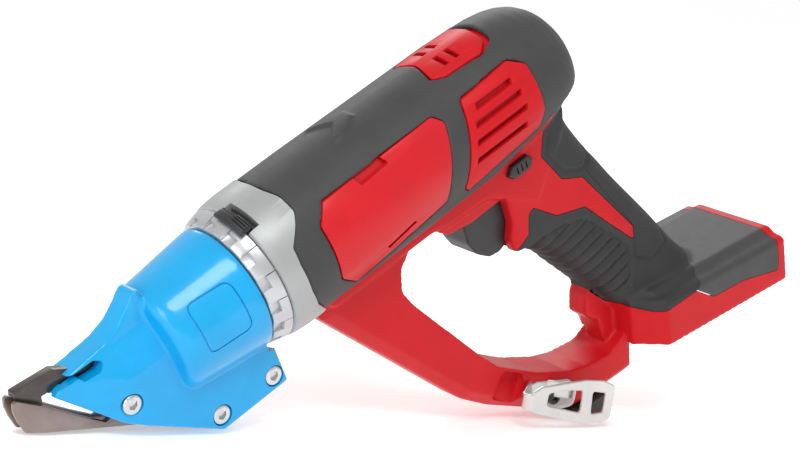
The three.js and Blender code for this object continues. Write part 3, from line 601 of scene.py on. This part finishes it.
def clamshell():
    """Core, keel, hood, guard, handle and foot fused into one moulding, then opened for what it holds."""
    keel = bevelled(prism("keel", rounded(KEEL, 3), -17.2, 17.2), 3.0, 4, 40)
    hood = prism("hood", rounded(HOOD, 3), -15.5, 15.5)
    hood_sides = [(-15.5, -20), (-15.5, -36.5), (-11.8, -70), (11.8, -70), (15.5, -36.5), (15.5, -20)]
    both(hood, bar("slope", hood_sides, 90, 200))
    tab = prism("tab", rounded([(199, -134), (190.5, -131.5), (187, -135.2), (183.2, -145.2),
                                (186.6, -150.5), (190, -153), (190, -168), (214, -172), (214, -140)],
                               1.6), -6.5, 6.5)
    whole = weld("body", [barrel_core(), keel, hood, trigger_lip(), guard_loop(), handle_loft(),
                          foot_loft(), tab])
    cast(whole, 1.0, 5)
    cuts = [scoop(), block("trigger_way", (118, -10.5, -77.4), (166, 10.5, -43.2)),
            prism("button_way", rounded([(153.6, -34.5), (157.3, -30.5), (168.2, -30.5), (171.4, -34.5),
                                         (168.2, -38.5), (157.3, -38.5)], 1), -40, 40)]
    cuts += battery_bay()
    for x, z, half in HOUSING_SCREWS:
        cuts.append(pin("well", x, z, 4.0, half - 3.6, 40))
    return carve(whole, cuts)


HOUSING_SCREWS = [(59, -52, 14), (105, -131, 14), (190, -181, 14), (176, -51, 16.6), (211.4, -97.5, 17.6)]


def press_line(co, n, outline, width, depth, mask):
    """Presses a narrow groove along a side-view outline."""
    rim = np.exp(-(inside_distance(co, outline) / width) ** 2)
    co -= n * (rim * mask * depth)[:, None]


RIB_FIELD = [(163, -80), (180, -80.5), (193, -86), (205.5, -104), (214.5, -119), (206, -140), (176, -138),
             (140, -100)]
PALM_LINE = [(203.5, -62), (213, -60), (243, -122), (241, -134), (226, -134), (216, -126), (221.5, -110)]
UPPER_LINE = [(186, -24), (186, -29), (181, -38), (188.5, -54), (201, -61), (210, -58), (203, -34),
              (199, -22)]
RIB_START = (158.0, -82.0)
RIB_DOWN, RIB_ACROSS = 0.52, 0.854
RIB_PITCH, RIB_BOW = 7.4, 0.012
RIB_RISE, RIB_SINK = 2.2, 1.75


def grip_ribs(obj):
    """Raised curved folds under the fingers, inside a six-sided field."""
    co, n = vertices(obj), normals(obj)
    mask = smoothstep(inside_distance(co, RIB_FIELD), 0.0, 1.6)
    x, z = co[:, 0] - RIB_START[0], co[:, 2] - RIB_START[1]
    along = x * RIB_DOWN - z * RIB_ACROSS
    across = x * RIB_ACROSS + z * RIB_DOWN
    wave = 0.5 + 0.5 * np.cos(2 * math.pi * (along - RIB_BOW * (across - 6) ** 2) / RIB_PITCH)
    forward = -(n[:, 0] * RIB_ACROSS + n[:, 2] * RIB_DOWN)
    side = smoothstep(np.abs(n[:, 1]) + 0.9 * np.maximum(forward, 0), 0.15, 0.5)
    co += n * (mask * side * (RIB_RISE * wave ** 0.55 - RIB_SINK))[:, None]
    flank = smoothstep(np.abs(n[:, 1]), 0.1, 0.4)
    press_line(co, n, RIB_FIELD, 0.75, 0.7, side)
    press_line(co, n, PALM_LINE, 0.7, 0.8, flank)
    press_line(co, n, UPPER_LINE, 0.7, 0.6, flank)
    set_vertices(obj, co)


def half_space(name, side):
    low, high = (-90, -MID_GAP) if side < 0 else (MID_GAP, 90)
    return block(name, (-250, low, -300), (450, high, 150))


def foot_end(start, stop):
    """A block across the foot, between two distances from its rear edge."""
    return block("foot_end", (start, -80, -60), (stop, 80, 60), FOOT)


def build_housing():
    """One moulded shape, parted into red shell, handle rubber and foot cover, each in two halves."""
    red = clamshell()
    rubber, cover = copy_of(red, "rubber"), copy_of(red, "cover")
    rubber_edge, cover_edge = rounded(RUBBER_ZONE, 1.6, 3), rounded(COVER_ZONE, 1.2, 3)
    both(rubber, prism("grip_zone", rubber_edge, -FAR, FAR))
    both(cover, prism("cover_zone", cover_edge, -FAR, FAR))
    carve(cover, [foot_end(-6.0, 40)])
    grip_ribs(rubber)
    carve(red, [prism("grip_gap", grown(rubber_edge, PART_LINE), -FAR, FAR)])
    cover_gap = both(prism("cover_gap", grown(cover_edge, PART_LINE), -FAR, FAR), foot_end(-300, -5.6))
    carve(red, [cover_gap])
    parts = ((red, "clamshell", "housing", "red_plastic", RED),
             (rubber, "grip_skin", "handle_grip", "dark_rubber", SHADED_GRIP_RUBBER),
             (cover, "foot_cover_skin", "foot_cover", "grey_plastic", LIT_COVER_RUBBER))
    for side_name, side in SIDES:
        for whole, piece, node, slot, material in parts:
            half = both(copy_of(whole, "half"), half_space("h", side))
            finish(half, f"{side_name}_{piece}", "housing", material, [f"{side_name}_{node}"])
    for part in parts:
        discard(part[0])


# ---------------------------------------------------------------- barrel skin and its panels

SKIN_PROFILE = [(23.4, PANEL_IN), (23.4, 34.6), (34, SKIN_R - 0.3), (60, SKIN_R), (155, SKIN_R),
                (172, 34.9), (182, 34.2), (190, 33.0), (196, 31.3), (201, 28.9), (205.5, 25.3),
                (209.2, 20), (212, 13), (213.4, 6), (213.8, 0), (211.5, 0), (210.4, 10.2), (206.7, 19.2),
                (199.2, 26.8), (188.1, 30.8), (172, 32.6), (60, PANEL_IN)]


def shell(low, high, r_in, r_out, segments=160):
    return lathe("shell", [(low, r_in), (low, r_out), (high, r_out), (high, r_in)], segments)


def side_prism(name, points, side, near=8.0):
    return prism(name, points, side * near, side * FAR) if side > 0 else prism(name, points, -FAR, -near)


def top_prism(name, points):
    return plan_prism(name, points, 8, FAR)


TOP_VENT = [(133, -13.4, 2), (139.5, -16, 2), (161.5, -16.9, 2), (168, -12.6, 2), (169.4, 0, 3),
            (168, 12.6, 2), (161.5, 16.9, 2), (139.5, 16, 2), (133, 13.4, 2), (136.2, 0, 3)]


def build_skin():
    whole = lathe("skin", SKIN_PROFILE, 160)
    cuts = [prism("low", SKIN_LOW, -FAR, FAR), prism("front", grown(CASE_EDGE, PART_LINE), -FAR, FAR),
            top_prism("vent_hole", rounded([(132, -13.8, 2), (139, -16.4, 2), (162, -17.6, 3),
                                            (172, -13.4, 5), (173.4, 0, 8), (172, 13.4, 5),
                                            (162, 17.6, 3), (139, 16.4, 2), (132, 13.8, 2),
                                            (135.5, 0, 3)], 2))]
    for _, side in SIDES:
        cuts.append(side_prism("badge_hole", grown(rounded(BADGE, 2.5), PART_LINE), side))
        cuts.append(side_prism("vent_hole", grown(rounded(VENT, 3), PART_LINE), side))
    carve(whole, cuts)
    chevron = [(74, -10.5), (79.5, -11.5), (92.5, -4), (92.5, 4), (79.5, 11.5), (74, 10.5), (84, 0)]
    rib = both(shell(68, 96, 34.6, 36.7), top_prism("rib", rounded(chevron, 1.0)))
    whole = weld("skin", [whole, rib])
    cast(whole, 0.85, 4)
    for side_name, side in SIDES:
        half = both(copy_of(whole, "half"), half_space("h", side))
        finish(half, f"{side_name}_barrel_rubber", "housing", SKIN,
               [f"{side_name}_barrel_skin"], sharp=50)
    discard(whole)


def build_panels():
    """The blank side panels, the louvred side panels and the louvred top panel."""
    badge = both(shell(30, 130, PANEL_IN, SKIN_R - 0.3), side_prism("zone", rounded(BADGE, 2.5), -1))
    notches = [side_prism("n", rounded([(69.5, 19.3), (87, 20.2), (84.6, 24.8), (67.5, 24.2)], 0.6), -1),
               side_prism("n", rounded([(70.3, -15.4), (88.2, -12.2), (87.2, -10.6), (69.7, -13.6)], 0.5),
                          -1)]
    carve(badge, notches)
    bevelled(badge, 0.55, 3, 40)
    vent = both(shell(110, 180, PANEL_IN, SKIN_R), side_prism("zone", rounded(VENT, 3), -1))
    slots = []
    for z, start, end in ((17.5, 138.9, 164.0), (11.0, 134.1, 165.7), (3.6, 130.7, 165.5),
                          (-4.5, 127.7, 162.6)):
        slots.append(side_prism("slot", rounded([(start, z - 1.5), (end - 1.2, z - 1.5), (end, z + 1.5),
                                                 (start + 1.6, z + 1.5)], 0.5), -1))
    carve(vent, slots)
    bevelled(vent, 0.4, 2, 40)
    for side_name, side in SIDES:
        one = copy_of(badge, "b") if side < 0 else mirrored(badge, "b")
        finish(one, f"{side_name}_badge", "housing", RED_BADGE,
               [f"{side_name}_badge_panel"], sharp=28)
        one = copy_of(vent, "v") if side < 0 else mirrored(vent, "v")
        finish(one, f"{side_name}_louvre", "housing", RED, [f"{side_name}_vent_panel"],
               sharp=28)
    discard(badge)
    discard(vent)
    top = both(shell(120, 180, PANEL_IN, SKIN_R - 0.2), top_prism("zone", rounded(TOP_VENT, 2)))
    holes = []
    for x in (145.1, 152.1):
        for y in (-7.4, 7.4):
            pts = [(x - 1.5, y - 4.3), (x + 1.5, y - 4.3), (x + 1.5, y + 4.3), (x - 1.5, y + 4.3)]
            holes.append(top_prism("hole", pts))
    carve(top, holes)
    bevelled(top, 0.35, 2, 40)
    finish(top, "top_louvre", "housing", RED, ["top_vent"], sharp=28)


# ---------------------------------------------------------------- gear case, ring and lock

def build_case():
    case = lathe("case", [(13.4, 14.6), (13.4, 33.2), (14.2, 34.4), (17, 35.1), (24, 35.7), (36.2, 35.8),
                          (36.2, 33.1), (40.6, 33.1), (40.6, 30.5), (52, 30.5), (52, 29), (22, 29),
                          (20.4, 14.6)], 128)
    outside = lathe("outside", [(13, 33.2), (13, 45), (60, 45), (60, 33.2)], 96)
    carve(outside, [prism("beyond", rounded(CASE_EDGE, 2.5), -FAR, FAR)])
    carve(case, [outside])
    window = both(shell(12, 19.6, 29.4, 45), half_sector(55, 86))
    guard_root = prism("root", [(30, -20), (34, -46), (60, -46), (60, -20)], -17.6, 17.6)
    carve(case, [window, guard_root])
    bevelled(case, 0.6, 3, 35)
    finish(case, "gear_case_casting", "housing", CASE, ["gear_case"], sharp=30)


SECTOR_R = 60


def half_sector(low, high):
    """A wedge between two angles above the horizontal on the left side."""
    a, b = math.radians(low), math.radians(high)
    turns = [a + (b - a) * k / 6 for k in range(7)]
    points = [(0, 0)] + [(-SECTOR_R * math.cos(t), SECTOR_R * math.sin(t)) for t in turns]
    return bar("sector", points, -60, 90)


def build_ring():
    """Whole rear half; the front half is cut away between its teeth."""
    ring = lathe("ring", [(-28, 22.6), (-28, 24.7), (3.8, 24.7), (3.8, 31.3), (4.6, 32.0), (8.4, 33.0),
                          (12.3, 34.0), (12.9, 33.6), (12.9, 22.6)], 160)
    cuts = []
    for k in range(16):
        for low, high, half, floor in ((2, 8.2, 3.0, 30.7), (2, 14, 0.22, 31.6)):
            centre = 0 if half > 1 else 3.0
            tool = block("notch", (low, centre - half, floor), (high, centre + half, 40))
            tool.data.transform(Matrix.Rotation(2 * math.pi * (k + 0.25) / 16, 4, "X"))
            cuts.append(tool)
    carve(ring, cuts)
    bevelled(ring, 0.3, 2, 35)
    finish(ring, "notched_index_ring", "swivel_head", COLLAR, ["index_ring"], sharp=30)


def build_lock():
    """A curved slider with a thumb ridge, in the window of the gear case."""
    plate, front, web = (both(shell(*sizes), half_sector(56, 85)) for sizes in
                         ((13.0, 19.2, 31.0, 32.6), (9.4, 13.4, 34.6, 36.6), (12.4, 15.4, 31.4, 36.4)))
    thumb = both(lathe("thumb", [(10.2, 34), (10.2, 36.8), (11.4, 37.7), (14.4, 37.9), (15.8, 37.0),
                                 (16.6, 34), (16.6, 32)], 160), half_sector(57, 70))
    lever = weld("lever", [plate, front, web, thumb])
    cast(lever, 0.35, 3)
    carve(lever, [shell(x - 0.28, x + 0.28, 37.0, 42) for x in (11.6, 13.1, 14.6)])
    finish(lever, "head_lock_lever", "head_lock", BLACK, ["lock_lever"])


# ---------------------------------------------------------------- head and blades

FIN = [(-92.5, 10.6), (-84, 15.6), (-74, 16.5), (-62, 17.6), (-54, 20.5), (-47, 25), (-41.5, 29.5),
       (-20, 29), (3, 20), (7.2, -20), (7.2, -51.8), (-31, -52.2), (-71, -18.2)]
FIN_PLAN = [(-95, -6.4), (-84, -8.6), (-62, -14.75), (9, -14.75), (9, 14.75), (-62, 14.75), (-84, 8.6),
            (-95, 6.4)]
NOSE_SECTION = [(-15.2, -70), (-14.75, 0), (-12.4, 6.5), (-7.0, 15.0), (-5.5, 40), (5.5, 40), (7.0, 15.0),
                (12.4, 6.5), (14.75, 0), (15.2, -70)]
YOKE_ROOM = [(-100, 9), (-82, 13.6), (-70, 13.4), (-56, 15.6), (-44, 17), (-30, 22), (-20, 22),
             (-20, -20), (-40, -14), (-66, -3)]
BLADE_ROOM = [(-100, 9), (-78, 6), (-72, -1.5), (-60, 1), (-18, -29), (9, -34), (9, -70), (-60, -70)]
NOSE_WINDOW = [(-99, 12.0), (-80, 12.6, 1), (-78.5, 10.2, 1), (-70.5, 9.6, 2.8), (-66.6, 12.3, 2.8),
               (-70.5, 14.9, 2.8), (-81, 14.9), (-99, 19)]
SIDE_LINE = [(-29, -5.5), (-6, -5.5), (-6, 18.5), (-29, 18.5)]
BLADE_SCREWS = [(-65.3, -11), (-29.4, -44.5), (1.3, -45.1)]


def build_head():
    """A turned cup run into a thin upright nose, hollow for the yoke and slit for the blades."""
    barrel = lathe("barrel", [(-40.5, 0), (-40.5, 18), (-40.0, 23), (-38.0, 26), (-34.5, 27.4), (0, 31.1),
                              (3.4, 31.2), (3.4, 0)], 96, 0, HEAD_Z)
    fin = prism("fin", FIN, -FIN_HALF, FIN_HALF)
    both(fin, plan_prism("plan", FIN_PLAN, -70, 60))
    rear = copy_of(fin, "rear")
    both(fin, bar("nose", NOSE_SECTION, -100, -38))
    both(rear, block("back", (-40.5, -40, -70), (20, 40, 0)))
    head = weld("head", [barrel, fin, rear])
    cast(head, 0.75, 16)
    outline = rounded(SIDE_LINE, 4.5, 6)
    border = carve(side_prism("border", outline, -1), [prism("inner", grown(outline, -0.7), -FAR - 9, 9)])
    both(border, lathe("band", [(-34, 26.9), (-34, 45), (2, 45), (2, 30.55)], 128, 0, HEAD_Z))
    cuts = [lathe("bore", [(-30, 0), (-30, 25), (20, 25), (20, 0)], 96),
            lathe("collar", [(3.5, 20), (3.5, 36), (20, 36), (20, 20)], 96),
            border,
            prism("slot", YOKE_ROOM, -3.2, 3.2),
            prism("under", BLADE_ROOM, -6.3, 6.3),
            prism("window", rounded(NOSE_WINDOW, 1), -30, 30)]
    for x, z in BLADE_SCREWS:
        cuts += [pin("shank", x, z, 2.8, -40, 40), pin("well", x, z, 5.1, -40, -12.2),
                 pin("well", x, z, 5.1, 11.4, 40)]
    carve(head, cuts)
    bevelled(head, 0.3, 2, 50)
    finish(head, "blue_head", "swivel_head", BLUE, ["head_casting"], sharp=45)


SIDE_BLADE = [(-110.4, 10.5, 1), (-110.3, 15.6, 1.6), (-109.0, 19.0, 1.0), (-107.2, 19.2, 1),
              (-98.3, 10.4, 2), (-84.2, -6.8, 3), (-76.3, -15.7, 1), (-70, -14), (-60, -16), (-20, -34),
              (6.5, -39), (6.5, -50), (-30, -50), (-48, -37, 2), (-67.5, -24.2, 2), (-109.4, 3.6, 1.2)]
CENTRE_BLADE = [(-106.6, 19.5, 0.8), (-106.0, 22.0, 1.2), (-86.1, 19.9, 1), (-76.3, 13.4, 1), (-66, 12.4),
                (-56, 15), (-44, 15), (-34, 16), (-22, 20.5), (-3, 20.5), (-3, 16.6), (-16, 16.6),
                (-16, -11.2), (-3, -11.2), (-3, -15), (-22, -15), (-34, -7), (-48, -3), (-60, 2),
                (-72, 6.5), (-79.4, 10.7, 1), (-95.9, 12.6, 0.5), (-97.2, 7.4, 0.6), (-99.7, 10.9, 0.5),
                (-104.4, 16.8, 1)]


def build_blades():
    """Two fixed side blades and the blade that rocks between them."""
    for side_name, side in SIDES:
        low, high = (2.9, 6.0) if side > 0 else (-6.0, -2.9)
        blade = prism("blade", rounded(SIDE_BLADE, 0.3, 4), low, high)
        cuts = [pin("hole", x, z, 2.8, -20, 20) for x, z in BLADE_SCREWS]
        nose = [(-125, side * 12), (-125, side * 1.6), (-101.5, side * 6.1), (-101.5, side * 12)]
        carve(blade, cuts + [plan_prism("nose", nose, -30, 40)])
        bevelled(blade, 0.38, 2, 40)
        finish(blade, f"{side_name}_cutting_blade", "swivel_head", SIDE_STEEL,
               [f"{side_name}_side_blade"], sharp=25)
    blade = prism("blade", rounded(CENTRE_BLADE, 0.3, 4), -2.55, 2.55)
    carve(blade, [pin("hole", -50, 6, 3.35, -9, 9)])
    bevelled(blade, 0.5, 2, 40)
    finish(blade, "rocking_blade", "moving_blade", DARK_STEEL, ["centre_blade"], sharp=25)


def screw_head(name, x, z, r, out, face, height, recess_r, sides, material, body, nodes, shank=2.0):
    """A screw seen from its head: out is the side its head faces, face the plane its head's top lies in."""
    rings = []
    profile = [(0.0, r * 0.80), (-0.25, r * 0.93), (-0.7, r), (-height, r), (-height, shank),
               (-height - 10, shank)]
    for depth, radius in profile:
        y = face + out * depth
        rings.append([(u, y, v) for u, v in circle(x, z, radius, 48)])
    head = loft("screw", rings)
    w = recess_r * 0.24
    arm = recess_r * 0.95
    quarter = [(arm, w), (w, w), (w, arm)]
    cross = quarter + [(-a, b) for a, b in reversed(quarter)]
    cross += [(-a, -b) for a, b in cross]
    hexagon = [(recess_r * math.cos(math.pi * k / 3 + 0.3), recess_r * math.sin(math.pi * k / 3 + 0.3))
               for k in range(6)]
    points = [(x + a, z + b) for a, b in (hexagon if sides == 6 else cross)]
    low, high = sorted((face - out * 2.0, face + out * 4))
    carve(head, [prism("recess", points, low, high)])
    bevelled(head, 0.18, 2, 35)
    return finish(head, name, body, material, nodes, sharp=30)


def build_screws():
    for i, (x, z) in enumerate(BLADE_SCREWS):
        screw_head(f"blade_clamp_screw_{i + 1}", x, z, 4.7, -1, -14.5, 2.2, 2.3, 6, CHROME,
                   "swivel_head", [f"blade_screw_{i + 1}"])
    for i, (x, z, half) in enumerate(HOUSING_SCREWS):
        screw_head(f"clamshell_screw_{i + 1}", x, z, 3.5, 1, half - 0.6, 2.4, 2.0, 6, BLACK,
                   "housing", [f"housing_screw_{i + 1}"], 1.7)
    screw_head("belt_clip_screw", 141.8, -165, 3.9, -1, -17.6, 2.2, 2.5, 4, BLACK,
               "housing", ["clip_screw"], 1.6)


# ---------------------------------------------------------------- trigger, button, clip, bumper

def build_controls():
    """The finger trigger with its stem, and the button that pushes across the handle."""
    profile = [(128, -44.2, 1), (126.6, -50, 6), (126.2, -59, 8), (129.2, -67, 6), (135.6, -73, 5),
               (142, -74.2, 5), (149, -72.2, 4), (153.4, -66.6, 4), (154.4, -58, 3), (154.4, -44.2, 1)]
    pull = prism("trigger", rounded(profile, 2), -9.9, 9.9)
    stem = block("stem", (153, -4, -64), (161.5, 4, -54))
    bevelled(pull, 2.2, 4, 50)
    pull = weld("trigger", [pull, stem])
    cast(pull, 0.6, 4)
    finish(pull, "finger_trigger", "trigger", BLACK, ["trigger"])
    outline = [(154, -34.5, 1), (157.5, -30.9, 1), (168, -30.9, 1), (171, -34.5, 1), (168, -38.1, 1),
               (157.5, -38.1, 1)]
    button = prism("button", rounded(outline, 1, 4), -19.6, 19.6)
    cuts = []
    for x in (159.4, 162.4, 165.4):
        for side in (-1, 1):
            low, high = sorted((side * 18.9, side * 25))
            cuts.append(prism("groove", [(x, -36.4), (x + 0.9, -36.4), (x + 0.9, -32.6), (x, -32.6)], low,
                              high))
    bevelled(button, 0.9, 3, 40)
    carve(button, cuts)
    finish(button, "direction_button", "lock_button", BLACK, ["lock_button"])


CLIP_LEAF = [(117.6, -151.2, 2), (121.8, -142.4, 2), (129, -143.6, 3), (155.8, -159.3, 8),
             (166.1, -167.5, 8), (172.2, -175.6, 4), (161.8, -191.2, 4), (148.8, -183.6, 6),
             (135.6, -170.8, 8), (120.4, -154.8, 2)]


def build_clip():
    """A pressed steel hook: screwed seat, bend, outer leaf with two windows, and a sprung tongue."""
    leaf = prism("leaf", rounded(CLIP_LEAF, 3), -28.8, -27.0)
    windows = [prism("w", rounded([(127.4, -154.6, 2), (131, -149.8, 1.5), (139.9, -154.3, 1),
                                   (151.9, -163.6, 2), (146, -174, 2)], 1), -60, -20),
               prism("w", rounded([(157.3, -168.3), (165, -175.3), (159.6, -184), (151.6, -179.1)], 1.6),
                     -60, -20)]
    carve(leaf, windows)
    start, end = Vector((121.6, 0, -142.8)), Vector((118.0, 0, -150.8))
    along = (end - start).normalized()
    out = Vector((along.z, 0, -along.x))
    turns = [math.pi * k / 12 for k in range(13)]
    outer = [(-25.4 - 3.4 * math.cos(a), 2.6 * math.sin(a)) for a in turns]
    inner = [(-25.4 + 1.6 * math.cos(a), 1.2 * math.sin(a)) for a in turns]
    strip = outer + [(-13.2, -12), (-15.0, -12.4)] + inner
    bend = loft("bend", [[tuple(p + out * push + Vector((0, y, 0))) for y, push in strip]
                         for p in (start, end)], split=True)
    seat = prism("seat", rounded([(128.0, -157.6, 1), (131.6, -149.8, 1), (136, -151), (155, -163.5, 4),
                                  (159, -171, 4), (153, -180, 4), (138, -172.5, 5)], 1), -15.0, -13.2)
    carve(seat, [pin("hole", 141.8, -165, 2.0, -30, 0)])
    tongue_rings = []
    half, thick = Vector((-2.52, 0, -3.36)), Vector((0, 1.1, 0))
    for k in range(11):
        t = k / 10
        p = Vector((140.5 + 11.5 * t, -15.2 - 6.2 * math.sin(math.pi * 0.55 * t), -158.0 - 9.0 * t))
        tongue_rings.append([p + half, p - half, p - half + thick, p + half + thick])
    tongue = loft("tongue", tongue_rings)
    clip = weld("clip", [leaf, bend, seat, tongue])
    cast(clip, 0.42, 2)
    finish(clip, "steel_belt_clip", "housing", CLIP_STEEL, ["belt_clip"], sharp=50)


def soften_cad():
    """Small CAD parts that show keep their mesh and get eased edges."""
    pad = frame["nodes"]["guard_bumper"]
    pad.data.materials.clear()
    pad.data.materials.append(BUMPER)
    for name in ("guard_bumper", "terminal_block", "positive_contact", "negative_contact", "pivot_pin"):
        m = frame["nodes"][name].modifiers.new("edge", "BEVEL")
        m.width = 0.0004
        m.segments = 2
        m.limit_method = "ANGLE"


build_housing()
build_skin()
build_panels()
build_case()
build_ring()
build_lock()
build_head()
build_blades()
build_screws()
build_controls()
build_clip()
soften_cad()


# ---------------------------------------------------------------- camera, floor and light

CAMERA_PLACE = (-0.675606, -0.69742, 0.25154)
CAMERA_TURN = (80.5137, -10.9886, -41.0596)

camera_data = bpy.data.cameras.new("camera")
camera_data.sensor_width = 36
camera_data.lens = 92.04
camera_data.clip_end = 20
camera = bpy.data.objects.new("camera", camera_data)
bpy.context.scene.collection.objects.link(camera)
camera.location = CAMERA_PLACE
camera.rotation_euler = [math.radians(degrees) for degrees in CAMERA_TURN]
bpy.context.scene.camera = camera


def stage_material():
    mat, nodes, links, shader, source = new_material("pale_floor")
    mottle = noise_node(nodes, links, source, 3, 3)
    links.new(ramp(nodes, links, mottle, [(0.3, (0.90, 0.90, 0.90)), (0.7, (0.93, 0.93, 0.93))]),
              shader.inputs["Base Color"])
    links.new(span(nodes, links, mottle, 0.75, 0.85), shader.inputs["Roughness"])
    shader.inputs["Emission Color"].default_value = (1, 1, 1, 1)
    shader.inputs["Emission Strength"].default_value = 0.38
    return mat


FLOOR_HALF, FLOOR_Z = 40, -0.0004
corners = [(x * FLOOR_HALF, y * FLOOR_HALF, FLOOR_Z) for x, y in ((-1, -1), (1, -1), (1, 1), (-1, 1))]
floor = solid("floor", corners, [(0, 1, 2, 3)])
floor.data.materials.append(stage_material())


def softbox(name, place, aim, size, watts):
    """A rectangular area light at a place, turned towards what it lights."""
    data = bpy.data.lights.new(name, "AREA")
    data.shape = "RECTANGLE"
    data.size, data.size_y = size
    data.energy = watts
    lamp = bpy.data.objects.new(name, data)
    bpy.context.scene.collection.objects.link(lamp)
    lamp.location = place
    lamp.rotation_euler = (Vector(aim) - Vector(place)).to_track_quat("-Z", "Y").to_euler()


softbox("key", (-1.1, -1.3, 2.2), (0, 0, 0.08), (1.2, 0.7), 24)
softbox("front_fill", (-1.9, -0.5, 0.5), (-0.05, 0, 0.1), (0.7, 0.9), 8)
softbox("back_rim", (0.9, 2.0, 1.6), (0, 0, 0.1), (1.8, 0.8), 16)

world = bpy.data.worlds.new("studio")
world.use_nodes = True
sky = world.node_tree.nodes["Background"]
sky.inputs[0].default_value = (1, 1, 1, 1)
sky.inputs[1].default_value = 0.66
bpy.context.scene.world = world
bpy.context.scene.view_settings.view_transform = "Standard"
